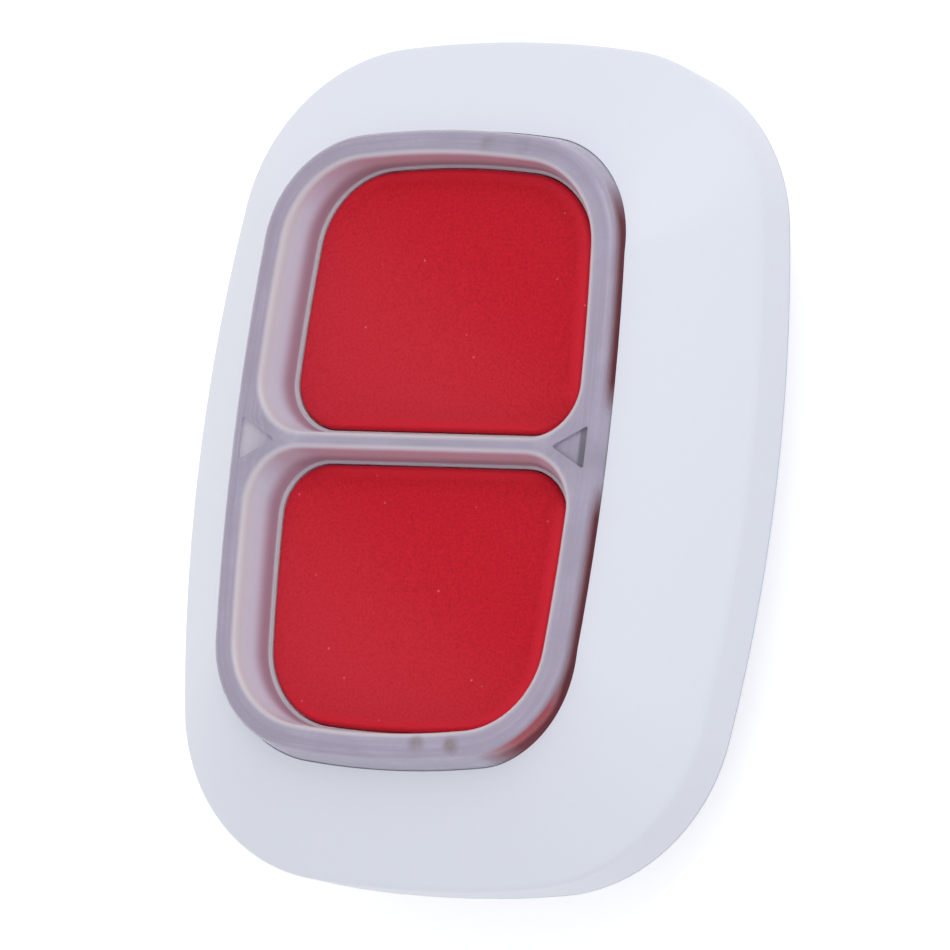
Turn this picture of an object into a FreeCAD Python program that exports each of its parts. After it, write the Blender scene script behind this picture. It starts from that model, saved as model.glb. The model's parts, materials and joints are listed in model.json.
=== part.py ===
import FreeCAD, Part
import math
import os
import Sketcher

# Wireless panic button: two recessed keys in a clear light frame, in a palm-sized sealed case.
# It lies on its back: z is 0 on the flat back, +Z leaves the keys, +Y is the long axis.
# All sizes are millimetres. Each row is a name, a size and what it measures.
SIZES = [
    ("body_length", 47.0, "length of the case at its crease"),
    ("body_width", 35.0, "width of the case at its crease"),
    ("body_height", 16.0, "flat back to the rim of the light frame"),
    ("body_corner", 10.5, "corner radius of the case outline"),
    ("body_side_bow", 95.0, "radius of the long sides of the case"),
    ("body_end_bow", 62.0, "radius of the short ends of the case"),
    ("crease_drop", 6.3, "rim of the frame down to the soft edge round the case"),
    ("crease_round", 0.6, "rounding of that edge"),
    ("band_height", 3.3, "that edge down to the joint between the case halves"),
    ("band_draft", 0.15, "taper of the side band, down to the joint"),
    ("case_wall", 1.5, "wall of the front case"),
    ("ceiling_wall", 2.05, "wall of the sloping face, measured upright"),
    ("knee_drop", 0.8, "inner knee below the crease"),
    ("face_drop", 1.0, "top of the sloping face below the rim"),
    ("face_side_margin", 0.18, "sloping face ends this far outside the frame's side"),
    ("face_end_sink", 1.4, "sloping face would end this far inside the frame's end"),
    ("face_bulge", 0.2, "crown of the sloping face"),
    ("frame_end_margin", 6.27, "rim of the light frame inside the end of the case"),
    ("frame_side_margin", 5.98, "rim of the light frame inside the side of the case"),
    ("frame_corner", 7.0, "corner radius of the light frame"),
    ("frame_side_bow", 143.0, "radius of the light frame's long sides"),
    ("frame_end_bow", 47.0, "radius of the light frame's short ends"),
    ("frame_flare", 0.8, "growth of the frame from its rim to its seat"),
    ("frame_seat_drop", 5.0, "rim of the frame down to its seat under the front case"),
    ("frame_clearance", 0.05, "gap between the light frame and the front case"),
    ("collar_wall", 0.9, "wall of the collar round the frame opening"),
    ("collar_rise", 1.9, "height of that collar"),
    ("flange_width", 0.45, "step of the frame's flange under the collar"),
    ("flange_thickness", 0.8, "thickness of that flange"),
    ("skirt_step", 0.3, "skirt of the frame outside the rim outline"),
    ("rim_thickness", 1.15, "width of the rim"),
    ("rim_outer_round", 0.4, "rounding of the rim's outer edge"),
    ("rim_inner_round", 0.25, "rounding of the rim's inner edges"),
    ("divider_thickness", 0.9, "width of the bar between the keys"),
    ("divider_flare", 3.0, "radius where that bar meets the rim"),
    ("prism_depth", 0.6, "depth of the three-cornered light pockets"),
    ("prism_half_height", 1.05, "half the base of a light pocket"),
    ("prism_reach", 2.15, "base to apex of a light pocket"),
    ("prism_outset", 0.3, "base of a light pocket outside the well's side"),
    ("window_over", 0.3, "reach of the lamp windows past the wall that they cut"),
    ("prism_round", 0.2, "corner rounding of a light pocket"),
    ("well_side_slope", 1.39, "lean of a well's side walls, from the rim in to its foot"),
    ("well_end_slope", 0.46, "lean of its end wall"),
    ("divider_slope", 0.36, "lean of its wall along the bar"),
    ("well_foot_corner", 4.7, "corner radius of its foot"),
    ("well_foot_round", 2.93, "corner radius of its foot at the bar"),
    ("lip_thickness", 0.8, "thickness of the lip that keeps the key in"),
    ("chamber_wall", 0.8, "wall of the key chamber, in from the rim outline"),
    ("chamber_divider", 0.8, "thickness of the bar below the lip"),
    ("chamber_round", 2.0, "corner radius of the key chamber at the bar"),
    ("key_recess", 1.65, "crown of a key below the rim"),
    ("key_proud", 0.3, "crown of a key above the foot of its well"),
    ("key_gap", 0.2, "gap round a key"),
    ("key_wall", 1.0, "wall of a key"),
    ("key_crown_radius", 260.0, "radius of a key's domed face"),
    ("key_edge_round", 0.4, "rounding of a key's edge"),
    ("key_flange_gap", 0.15, "gap round the flange of a key"),
    ("key_flange_thickness", 0.7, "thickness of that flange"),
    ("key_lip_gap", 0.1, "gap between that flange and the lip"),
    ("key_post_radius", 2.3, "radius of the post under a key"),
    ("key_ring_height", 1.0, "height of the ring that cuts a key's crown"),
    ("board_drop", 8.0, "rim of the frame down to the board, on which its skirt stands"),
    ("board_gap", 0.25, "gap between the board and the case"),
    ("board_thickness", 0.8, "thickness of the circuit board"),
    ("board_hole_gap", 0.1, "gap round a screw in the board"),
    ("notch_end_gap", 0.4, "gap between a hook and the ends of its notch in the board"),
    ("notch_back_gap", 0.3, "gap behind a hook in that notch"),
    ("contact_height", 0.95, "cell to board"),
    ("cell_diameter", 20.0, "diameter of the coin cell"),
    ("cell_height", 3.2, "height of the coin cell"),
    ("cell_cap_diameter", 17.4, "diameter of the cell's inner can"),
    ("cell_step", 0.35, "height of the cell's inner can above its crimp"),
    ("cell_round", 0.4, "corner of the cell's can"),
    ("clip_thickness", 0.25, "sheet of the battery clip"),
    ("clip_width", 9.0, "width of the battery clip"),
    ("clip_gap", 0.3, "gap between the cell and the clip's sides"),
    ("clip_foot", 1.6, "length of a foot of the clip"),
    ("clip_tongue", 12.0, "length of the clip's spring tongue"),
    ("clip_slit", 0.6, "width of the slits beside that tongue"),
    ("clip_slit_place", 2.0, "slits from the middle of the clip"),
    ("contact_foot", 3.5, "foot of the contact leaf behind the middle of the board"),
    ("contact_bend", 2.1, "bend of that leaf in front of the middle"),
    ("contact_touch", 6.0, "place where it touches the cell"),
    ("contact_reach", 7.0, "its tip"),
    ("contact_width", 3.0, "width of that leaf"),
    ("switch_width", 4.5, "side of a switch"),
    ("switch_height", 1.5, "height of a switch"),
    ("plunger_radius", 1.2, "radius of a switch's plunger"),
    ("plunger_height", 2.2, "board to the top of the plunger"),
    ("plunger_clearance", 0.05, "gap round the plunger"),
    ("plunger_chamfer", 0.15, "chamfer of the plunger"),
    ("plunger_flange", 0.4, "step of the plunger's flange"),
    ("plunger_flange_thickness", 0.35, "thickness of that flange"),
    ("switch_floor", 0.25, "floor of a switch"),
    ("switch_room", 1.9, "radius of the room inside a switch"),
    ("dome_radius", 1.75, "radius of the snap dome"),
    ("dome_rise", 0.5, "floor of a switch to its plunger"),
    ("dome_sheet", 0.1, "sheet of the snap dome"),
    ("lead_width", 0.7, "width of a switch's lead"),
    ("lead_length", 0.7, "length of a switch's lead"),
    ("lead_thickness", 0.2, "thickness of a switch's lead"),
    ("lead_spacing", 3.0, "distance between a switch's leads"),
    ("boot_sheet", 0.5, "thickness of the boot's flange and cone"),
    ("boot_crown", 0.7, "thickness of the boot's crown"),
    ("boot_low_radius", 4.4, "inner radius of the boot at the board"),
    ("boot_high_radius", 3.4, "inner radius of the boot at its shoulder"),
    ("boot_top_radius", 1.8, "inner radius of the boot under its crown"),
    ("boot_gap", 0.1, "gap between the boot's shoulder and its switch, measured upright"),
    ("cover_wall", 1.1, "floor of the rear cover"),
    ("base_inset", 6.0, "flat back inside the crease outline"),
    ("dish_low_height", 0.7, "height of the first section of the back"),
    ("dish_low_inset", 4.75, "inset of that section"),
    ("dish_mid_height", 2.6, "height of the second section of the back"),
    ("dish_mid_inset", 2.8, "inset of that section"),
    ("floor_inset", 6.2, "floor of the rear cover inside the crease outline"),
    ("floor_low_height", 2.0, "height of the first inner section of the cover"),
    ("floor_low_inset", 5.2, "inset of that section"),
    ("floor_mid_height", 3.4, "height of the second inner section of the cover"),
    ("floor_mid_inset", 3.9, "inset of that section"),
    ("tongue_gap", 0.1, "gap between the cover's tongue and the front case"),
    ("tongue_thickness", 0.8, "thickness of the tongue"),
    ("tongue_height", 0.7, "height of the tongue above the joint"),
    ("seal_skirt", 0.85, "wall of the front case outside the seal"),
    ("seal_height", 0.6, "height of the seal"),
    ("seal_gap", 0.05, "gap beside the seal"),
    ("hook_margin", 16.5, "snap hooks inside the end of the case"),
    ("hook_width", 4.0, "width of a snap hook"),
    ("hook_thickness", 0.8, "thickness of a snap hook"),
    ("hook_reach", 0.4, "barb of a snap hook"),
    ("hook_blunt", 0.1, "blunt edge of the barb"),
    ("hook_rise", 0.95, "tip of a snap hook above the board"),
    ("lug_height", 0.5, "height of the lug that a hook catches"),
    ("lug_gap", 0.1, "gap between a hook and its lug"),
    ("lug_stem_gap", 0.15, "gap between a lug and the stem of its hook"),
    ("lug_end_step", 0.2, "ends of a lug inside the ends of its hook"),
    ("wall_root", 0.35, "reach of a lug into the wall"),
    ("strap_width", 6.0, "width of the strap recess"),
    ("strap_length", 4.4, "length of the strap recess"),
    ("strap_depth", 2.6, "depth of the strap recess"),
    ("strap_wall", 1.0, "wall of the strap recess"),
    ("strap_margin", 9.4, "strap bar inside the end of the case"),
    ("strap_bar_radius", 0.6, "radius of the strap bar"),
    ("strap_bar_height", 0.85, "height of the strap bar's axis"),
    ("rib_radius", 7.0, "outer radius of the ring rib under the cell"),
    ("rib_thickness", 0.9, "thickness of the ring rib"),
    ("pry_width", 6.0, "width of the slot that opens the case"),
    ("pry_height", 0.6, "height of that slot"),
    ("pry_depth", 1.0, "depth of that slot"),
    ("screw_side_margin", 6.7, "board screws inside the side of the case"),
    ("screw_end_margin", 6.65, "board screws inside the end of the case"),
    ("screw_radius", 0.6, "radius of a screw's thread"),
    ("screw_length", 3.0, "length of a screw under its head"),
    ("screw_head_radius", 1.0, "radius of a screw's head"),
    ("screw_head_height", 0.8, "height of a screw's head"),
    ("slot_length", 1.2, "length of the crossed slots in a screw's head"),
    ("slot_width", 0.3, "width of those slots"),
    ("slot_depth", 0.4, "depth of those slots"),
    ("boss_radius", 1.1, "radius of a screw boss"),
    ("boss_gap", 0.1, "gap between the top of a screw boss and the level of the collar"),
    ("pilot_gap", 0.05, "gap round a screw in its boss"),
    ("pilot_spare", 0.1, "depth of the hole past the screw"),
    ("lamp_spacing", 2.2, "distance between the two lamps of a pair"),
    ("lamp_length", 1.6, "length of a lamp"),
    ("lamp_width", 0.8, "width of a lamp"),
    ("lamp_height", 0.75, "height of a lamp"),
    ("lamp_base_height", 0.3, "height of a lamp's base"),
    ("lamp_lens_length", 1.1, "length of a lamp's lens"),
    ("lamp_gap", 0.2, "gap between a lamp and its window"),
    ("lamp_round", 0.15, "rounding of a lamp's lens"),
    ("chip_side", 5.0, "side of the radio chip"),
    ("chip_height", 0.85, "height of the radio chip"),
    ("chip_corner", 0.2, "chamfer of the radio chip's corners"),
    ("chip_margin", 9.0, "radio chip inside the end of the case"),
    ("crystal_margin", 11.5, "crystal inside the side of the case"),
    ("crystal_length", 3.2, "length of the crystal"),
    ("crystal_width", 2.5, "width of the crystal"),
    ("crystal_height", 0.75, "height of the crystal"),
    ("crystal_base_height", 0.3, "height of the crystal's base"),
    ("crystal_step", 0.2, "step from the crystal's base to its lid"),
    ("storage_length", 3.5, "length of the storage capacitor"),
    ("storage_width", 2.8, "width of the storage capacitor"),
    ("storage_height", 1.8, "height of the storage capacitor"),
    ("passive_length", 1.0, "length of a chip capacitor"),
    ("passive_width", 0.5, "width and height of a chip capacitor"),
    ("passive_pitch", 1.2, "distance between chip capacitors"),
    ("antenna_side_margin", 9.0, "legs of the antenna inside the side of the case"),
    ("antenna_drop", 2.2, "height of the antenna under the board"),
    ("antenna_bend", 0.9, "bend radius of the antenna"),
    ("antenna_radius", 0.3, "radius of the antenna's wire"),
    ("antenna_end_margin", 4.9, "antenna inside the end of the case"),
]
VALUES = {name: value for name, value, words in SIZES}
PASSIVE_STEPS = (-2, -1, 0, 1, 2)

# Lengths closer than this are one length, and a rim edge lies this close to its outline.
TOUCH = 1e-4
NEAR = 0.08

doc = FreeCAD.newDocument("panic_button")


class Length:
    """A length worked out from the sheet: its formula, and its value in millimetres."""

    def __init__(self, formula, value):
        self.formula = formula
        self.value = value

    def _join(self, sign, other, value):
        return Length(f"({self.formula} {sign} {as_length(other).formula})", value)

    def __add__(self, other):
        return self._join("+", other, self.value + as_length(other).value)

    def __sub__(self, other):
        return self._join("-", other, self.value - as_length(other).value)

    def __mul__(self, other):
        return self._join("*", other, self.value * as_length(other).value)

    def __truediv__(self, other):
        return self._join("/", other, self.value / as_length(other).value)


def as_length(number):
    return number if isinstance(number, Length) else Length(repr(float(number)), float(number))


def size(name):
    return Length("sizes." + name, VALUES[name])


def write_sheet():
    sheet = doc.addObject("Spreadsheet::Sheet", "sizes")
    for row, (name, value, words) in enumerate(SIZES, start=1):
        sheet.set(f"A{row}", words)
        sheet.set(f"B{row}", str(value))
        sheet.setAlias(f"B{row}", name)
    doc.recompute()


class Outline:
    """A rounded oblong of eight arcs: bowed sides, bowed ends and four corners, all tangent."""

    def __init__(self, half_width, half_length, corner, side_bow, end_bow):
        self.half_width = half_width
        self.half_length = half_length
        self.corner = corner
        self.side_bow = side_bow
        self.end_bow = end_bow

    def inset(self, distance):
        return Outline(
            self.half_width - distance,
            self.half_length - distance,
            self.corner - distance,
            self.side_bow - distance,
            self.end_bow - distance,
        )

    def side_centre(self):
        return self.half_width.value - self.side_bow.value

    def end_centre(self):
        return self.half_length.value - self.end_bow.value

    def corner_centre(self):
        """The centre of the first corner: it touches a side and an end from inside."""
        from_side = self.side_bow.value - self.corner.value
        from_end = self.end_bow.value - self.corner.value
        across, along = -self.side_centre(), self.end_centre()
        apart = math.hypot(across, along)
        foot = (from_side ** 2 - from_end ** 2 + apart ** 2) / (2 * apart)
        rise = math.sqrt(from_side ** 2 - foot ** 2)
        x = self.side_centre() + (foot * across - rise * along) / apart
        y = (foot * along + rise * across) / apart
        return x, y

    def side_angle(self):
        x, y = self.corner_centre()
        return math.atan2(y, x - self.side_centre())

    def end_angle(self):
        x, y = self.corner_centre()
        return math.atan2(y - self.end_centre(), x)


# Sketches

def origin_plane(body, role):
    return [plane for plane in body.Origin.OriginFeatures if plane.Role == role][0]


def new_sketch(body, name, plane="XY_Plane", height=None):
    """A sketch on an origin plane of the body, lifted along the plane's normal by height."""
    sketch = body.newObject("Sketcher::SketchObject", name)
    sketch.AttachmentSupport = [(origin_plane(body, plane), "")]
    sketch.MapMode = "FlatFace"
    if height is not None:
        height = as_length(height)
        lift = FreeCAD.Vector(0, 0, height.value)
        sketch.AttachmentOffset = FreeCAD.Placement(lift, FreeCAD.Rotation())
        sketch.setExpression("AttachmentOffset.Base.z", height.formula)
    return sketch


def fix(sketch, kind, *places, value):
    """Adds a driving dimension to a sketch and binds it to its formula."""
    value = as_length(value)
    index = sketch.addConstraint(Sketcher.Constraint(kind, *places, value.value))
    sketch.setExpression(f"Constraints[{index}]", value.formula)


def link(sketch, kind, *places):
    sketch.addConstraint(Sketcher.Constraint(kind, *places))


def arc(centre_x, centre_y, radius, start, end):
    circle = Part.Circle(FreeCAD.Vector(centre_x, centre_y, 0), FreeCAD.Vector(0, 0, 1), radius)
    return Part.ArcOfCircle(circle, start, end)


def close_chain(sketch, count):
    for index in range(count):
        link(sketch, "Tangent", index, 2, (index + 1) % count, 1)


def draw_outline(sketch, outline):
    """The eight arcs, counter-clockwise from the right side; the origin is -1, 1."""
    x, y = outline.corner_centre()
    low, high = outline.side_angle(), outline.end_angle()
    side, end = outline.side_bow.value, outline.end_bow.value
    side_x, end_y = outline.side_centre(), outline.end_centre()
    corner = outline.corner.value
    first = sketch.GeometryCount
    sketch.addGeometry([
        arc(side_x, 0, side, -low, low),
        arc(x, y, corner, low, high),
        arc(0, end_y, end, high, math.pi - high),
        arc(-x, y, corner, math.pi - high, math.pi - low),
        arc(-side_x, 0, side, math.pi - low, math.pi + low),
        arc(-x, -y, corner, math.pi + low, math.pi + high),
        arc(0, -end_y, end, math.pi + high, 2 * math.pi - high),
        arc(x, -y, corner, 2 * math.pi - high, 2 * math.pi - low),
    ], False)
    for index in range(8):
        link(sketch, "Tangent", first + index, 2, first + (index + 1) % 8, 1)
    link(sketch, "PointOnObject", first, 3, -1)
    link(sketch, "PointOnObject", first + 4, 3, -1)
    link(sketch, "PointOnObject", first + 2, 3, -2)
    link(sketch, "PointOnObject", first + 6, 3, -2)
    for index in (0, 4):
        fix(sketch, "Radius", first + index, value=outline.side_bow)
    for index in (2, 6):
        fix(sketch, "Radius", first + index, value=outline.end_bow)
    for index in (1, 3, 5, 7):
        fix(sketch, "Radius", first + index, value=outline.corner)
    fix(sketch, "DistanceX", first, 3, -1, 1, value=outline.side_bow - outline.half_width)
    fix(sketch, "DistanceX", -1, 1, first + 4, 3, value=outline.side_bow - outline.half_width)
    fix(sketch, "DistanceY", first + 2, 3, -1, 1, value=outline.end_bow - outline.half_length)
    fix(sketch, "DistanceY", -1, 1, first + 6, 3, value=outline.end_bow - outline.half_length)


def draw_half(sketch, outline, line, small):
    """The +Y half of an outline, closed by a straight line at y = line with small corners."""
    x, y = outline.corner_centre()
    low, high = outline.side_angle(), outline.end_angle()
    side, end = outline.side_bow.value, outline.end_bow.value
    side_x, end_y = outline.side_centre(), outline.end_centre()
    corner = outline.corner.value
    small_y = line.value + small.value
    small_x = side_x + math.sqrt((side - small.value) ** 2 - small_y ** 2)
    turn = math.atan2(small_y, small_x - side_x)
    left = FreeCAD.Vector(-small_x, line.value, 0)
    right = FreeCAD.Vector(small_x, line.value, 0)
    sketch.addGeometry([
        Part.LineSegment(left, right),
        arc(small_x, small_y, small.value, -math.pi / 2, turn),
        arc(side_x, 0, side, turn, low),
        arc(x, y, corner, low, high),
        arc(0, end_y, end, high, math.pi - high),
        arc(-x, y, corner, math.pi - high, math.pi - low),
        arc(-side_x, 0, side, math.pi - low, math.pi - turn),
        arc(-small_x, small_y, small.value, math.pi - turn, math.pi * 3 / 2),
    ], False)
    close_chain(sketch, 8)
    link(sketch, "Horizontal", 0)
    link(sketch, "PointOnObject", 2, 3, -1)
    link(sketch, "PointOnObject", 6, 3, -1)
    link(sketch, "PointOnObject", 4, 3, -2)
    for index in (1, 7):
        fix(sketch, "Radius", index, value=small)
    for index in (2, 6):
        fix(sketch, "Radius", index, value=outline.side_bow)
    for index in (3, 5):
        fix(sketch, "Radius", index, value=outline.corner)
    fix(sketch, "Radius", 4, value=outline.end_bow)
    fix(sketch, "DistanceX", 2, 3, -1, 1, value=outline.side_bow - outline.half_width)
    fix(sketch, "DistanceX", -1, 1, 6, 3, value=outline.side_bow - outline.half_width)
    fix(sketch, "DistanceY", 4, 3, -1, 1, value=outline.end_bow - outline.half_length)
    fix(sketch, "DistanceY", -1, 1, 0, 1, value=line)


def place_point(sketch, geometry, point, x, y):
    """Puts a point of a sketch at signed distances from the origin."""
    for kind, distance in (("DistanceX", as_length(x)), ("DistanceY", as_length(y))):
        if abs(distance.value) < TOUCH:
            link(sketch, "PointOnObject", geometry, point, -2 if kind == "DistanceX" else -1)
        else:
            fix(sketch, kind, -1, 1, geometry, point, value=distance)


def draw_circle(sketch, x, y, radius):
    x, y, radius = as_length(x), as_length(y), as_length(radius)
    centre = FreeCAD.Vector(x.value, y.value, 0)
    index = sketch.addGeometry(Part.Circle(centre, FreeCAD.Vector(0, 0, 1), radius.value), False)
    fix(sketch, "Radius", index, value=radius)
    place_point(sketch, index, 3, x, y)


def draw_polygon(sketch, corners):
    """A closed outline of straight lines through the corners, each a pair of lengths."""
    corners = [(as_length(x), as_length(y)) for x, y in corners]
    points = [FreeCAD.Vector(x.value, y.value, 0) for x, y in corners]
    first = sketch.GeometryCount
    count = len(points)
    for index in range(count):
        sketch.addGeometry(Part.LineSegment(points[index], points[(index + 1) % count]), False)
    for index in range(count):
        link(sketch, "Coincident", first + index, 2, first + (index + 1) % count, 1)
    for index, (x, y) in enumerate(corners):
        place_point(sketch, first + index, 1, x, y)


def draw_box(sketch, low_x, low_y, high_x, high_y):
    draw_polygon(sketch, [(low_x, low_y), (high_x, low_y), (high_x, high_y), (low_x, high_y)])


# Features

def new_body(name):
    body = doc.addObject("PartDesign::Body", name)
    body.Label = name
    return body


def feature(body, kind, name, sketch, settings):
    item = body.newObject("PartDesign::" + kind, name)
    item.Profile = sketch
    for key, value in settings.items():
        if isinstance(value, Length):
            setattr(item, key, value.value)
            item.setExpression(key, value.formula)
        else:
            setattr(item, key, value)
    sketch.Visibility = False
    return item


def turned(sketch):
    """Settings of a feature that turns a sketch all round its upright axis."""
    return {"ReferenceAxis": (sketch, ["V_Axis"]), "Angle": 360.0}


def pad(body, name, sketch, height):
    return feature(body, "Pad", name, sketch, {"Length": height})


def cut_down(body, name, sketch, depth):
    return feature(body, "Pocket", name, sketch, {"Length": depth})


def cut_up(body, name, sketch, depth):
    return feature(body, "Pocket", name, sketch, {"Length": depth, "Reversed": True})


def loft(body, name, kind, sections, ruled):
    item = body.newObject("PartDesign::" + kind, name)
    item.Profile = sections[0]
    item.Sections = sections[1:]
    item.Ruled = ruled
    return item


def outline_at(body, name, outline, height):
    sketch = new_sketch(body, name, height=height)
    draw_outline(sketch, outline)
    return sketch


def half_at(body, name, outline, line, small, height):
    sketch = new_sketch(body, name, height=height)
    draw_half(sketch, outline, line, small)
    return sketch


def circles_at(body, name, places, radius, height):
    sketch = new_sketch(body, name, height=height)
    for x, y in places:
        draw_circle(sketch, x, y, radius)
    return sketch


def box_at(body, name, corners, height):
    sketch = new_sketch(body, name, height=height)
    draw_box(sketch, *corners)
    return sketch


def turn_twice(body, name, features):
    """Repeats features half a turn round the case's upright axis."""
    pattern = body.newObject("PartDesign::PolarPattern", name)
    pattern.Originals = features
    pattern.Axis = (origin_plane(body, "Z_Axis"), [""])
    pattern.Angle = 360
    pattern.Occurrences = 2
    body.Tip = pattern
    return pattern


def level_edges(shape, height):
    """Names of the edges that lie at one height."""
    names = []
    for index, edge in enumerate(shape.Edges, start=1):
        box = edge.BoundBox
        if abs(box.ZMin - height.value) < TOUCH and abs(box.ZMax - height.value) < TOUCH:
            names.append(f"Edge{index}")
    return names


def upright_edges(shape, low, high):
    """Names of the upright edges between two heights, with their places."""
    found = {}
    for index, edge in enumerate(shape.Edges, start=1):
        box = edge.BoundBox
        upright = box.XLength < TOUCH and box.YLength < TOUCH
        if upright and abs(box.ZMin - low.value) < TOUCH and abs(box.ZMax - high.value) < TOUCH:
            found[f"Edge{index}"] = box.Center
    return found


def round_edges(body, name, base, edges, radius):
    item = body.newObject("PartDesign::Fillet", name)
    item.Base = (base, edges)
    item.Radius = radius.value
    item.setExpression("Radius", radius.formula)
    return item


def about_z(turn):
    """The placement of a piece that is turned about the case's upright axis."""
    return FreeCAD.Placement(FreeCAD.Vector(0, 0, 0), FreeCAD.Vector(0, 0, 1), turn)


# Heights and outlines that several pieces share

write_sheet()
rim_top = size("body_height")
crease = rim_top - size("crease_drop")
parting = crease - size("band_height")
seat = rim_top - size("frame_seat_drop")
face_top = rim_top - size("face_drop")
board_top = rim_top - size("board_drop")
board_base = board_top - size("board_thickness")
cell_top = board_base - size("contact_height")
cell_base = cell_top - size("cell_height")
clip_base = cell_base - size("clip_thickness")
key_top = rim_top - size("key_recess")
well_foot = key_top - size("key_proud")
lip_base = well_foot - size("lip_thickness")
key_flange_top = lip_base - size("key_lip_gap")
key_base = key_flange_top - size("key_flange_thickness")
plunger_top = board_top + size("plunger_height")
boot_top = plunger_top + size("boot_crown")
plunger_base = board_top + size("switch_floor") + size("dome_rise")
plunger_flange_top = plunger_base + size("plunger_flange_thickness")

body_outline = Outline(
    size("body_width") / 2,
    size("body_length") / 2,
    size("body_corner"),
    size("body_side_bow"),
    size("body_end_bow"),
)
rim_outline = Outline(
    body_outline.half_width - size("frame_side_margin"),
    body_outline.half_length - size("frame_end_margin"),
    size("frame_corner"),
    size("frame_side_bow"),
    size("frame_end_bow"),
)
parting_outline = body_outline.inset(size("band_draft"))
case_inside = parting_outline.inset(size("case_wall"))
tongue_outside = case_inside.inset(size("tongue_gap"))
tongue_inside = tongue_outside.inset(size("tongue_thickness"))
seat_outline = rim_outline.inset(size("frame_flare") * -1)
flange_outline = seat_outline.inset(size("flange_width") * -1)
well_outline = rim_outline.inset(size("rim_thickness"))
foot_outline = Outline(
    well_outline.half_width - size("well_side_slope"),
    well_outline.half_length - size("well_end_slope"),
    size("well_foot_corner"),
    well_outline.side_bow - size("well_side_slope"),
    well_outline.end_bow - size("well_end_slope"),
)
key_outline = foot_outline.inset(size("key_gap"))
chamber_outline = rim_outline.inset(size("chamber_wall"))
well_line = size("divider_thickness") / 2
foot_line = well_line + size("divider_slope")
key_line = foot_line + size("key_gap")
chamber_line = size("chamber_divider") / 2
key_centre = (key_line + key_outline.half_length) / 2
prism_base = well_outline.half_width + size("prism_outset")
CORNERS = [(side, end) for side in (1, -1) for end in (1, -1)]
screw_x = body_outline.half_width - size("screw_side_margin")
screw_y = body_outline.half_length - size("screw_end_margin")
SCREW_PLACES = [(screw_x * side, screw_y * end) for side, end in CORNERS]
hook_y = body_outline.half_length - size("hook_margin")
hook_top = board_top + size("hook_rise")
chip_y = size("chip_margin") - body_outline.half_length
crystal_x = body_outline.half_width - size("crystal_margin")
lamp_y = rim_outline.half_length - (size("chamber_wall") - size("skirt_step")) / 2


# Front case: a domed shell with a collar that holds the light frame

def make_front_case():
    body = new_body("front_case")
    middle = (crease + face_top) / 2
    bulge = size("face_bulge")
    face_outline = Outline(
        rim_outline.half_width + size("face_side_margin"),
        rim_outline.half_length - size("face_end_sink"),
        rim_outline.corner,
        rim_outline.side_bow,
        rim_outline.end_bow,
    )
    middle_outline = Outline(
        (body_outline.half_width + face_outline.half_width) / 2 + bulge,
        (body_outline.half_length + face_outline.half_length) / 2 + bulge,
        (body_outline.corner + face_outline.corner) / 2 + bulge,
        (body_outline.side_bow + face_outline.side_bow) / 2,
        (body_outline.end_bow + face_outline.end_bow) / 2,
    )
    low = outline_at(body, "case_low_edge", parting_outline, parting)
    edge = outline_at(body, "case_crease", body_outline, crease)
    half_way = outline_at(body, "case_face_middle", middle_outline, middle)
    top = outline_at(body, "case_face_top", face_outline, face_top)
    loft(body, "case_band", "AdditiveLoft", [low, edge], True)
    face = loft(body, "case_face", "AdditiveLoft", [edge, half_way, top], False)
    doc.recompute()
    crease_edges = level_edges(face.Shape, crease)
    round_edges(body, "case_crease_round", face, crease_edges, size("crease_round"))

    knee = crease - size("knee_drop")
    inner_low = outline_at(body, "cavity_low", case_inside, parting)
    inner_knee = outline_at(body, "cavity_knee", case_inside, knee)
    inner_top = outline_at(body, "cavity_top", face_outline, face_top - size("ceiling_wall"))
    loft(body, "case_cavity", "SubtractiveLoft", [inner_low, inner_knee, inner_top], True)

    step = outline_at(body, "seal_step_outline", parting_outline.inset(size("seal_skirt")), parting)
    cut_up(body, "seal_step", step, size("seal_height"))
    collar_outline = seat_outline.inset(size("collar_wall") * -1)
    collar = outline_at(body, "collar_outline", collar_outline, seat)
    pad(body, "case_collar", collar, size("collar_rise"))
    add_screw_bosses(body)
    add_hook_lugs(body)
    clearance = size("frame_clearance") * -1
    opening_low = outline_at(body, "opening_low", seat_outline.inset(clearance), seat)
    opening_top = outline_at(body, "opening_top", rim_outline.inset(clearance), rim_top)
    loft(body, "frame_opening", "SubtractiveLoft", [opening_low, opening_top], True)
    return body


def add_screw_bosses(body):
    rise = seat - size("boss_gap") - board_top
    circles = circles_at(body, "boss_circles", SCREW_PLACES, size("boss_radius"), board_top)
    pad(body, "screw_bosses", circles, rise)
    hole_radius = size("screw_radius") + size("pilot_gap")
    holes = circles_at(body, "pilot_circles", SCREW_PLACES, hole_radius, board_top)
    depth = size("screw_length") - size("board_thickness") + size("pilot_spare")
    cut_up(body, "pilot_holes", holes, depth)


def hook_face():
    """Outer face of the hooks' stems: their barbs clear the bowed wall at their far ends."""
    far = hook_y + size("hook_width") / 2
    sag = far * far / (size("body_side_bow") * 2)
    return case_inside.half_width - sag - size("lug_gap") - size("hook_reach")


def add_hook_lugs(body):
    top = hook_top - size("hook_reach") - size("lug_gap")
    low_x = hook_face() + size("lug_stem_gap")
    high_x = case_inside.half_width + size("wall_root")
    half = size("hook_width") / 2 - size("lug_end_step")
    sketch = new_sketch(body, "lug_outlines", height=top - size("lug_height"))
    for side, end in CORNERS:
        near = hook_y * end - half
        far = hook_y * end + half
        draw_box(sketch, low_x * side, near, high_x * side, far)
    pad(body, "hook_lugs", sketch, size("lug_height"))


# Rear cover: a dished back with a tongue, snap hooks, a strap bar and a rib under the cell

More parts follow.
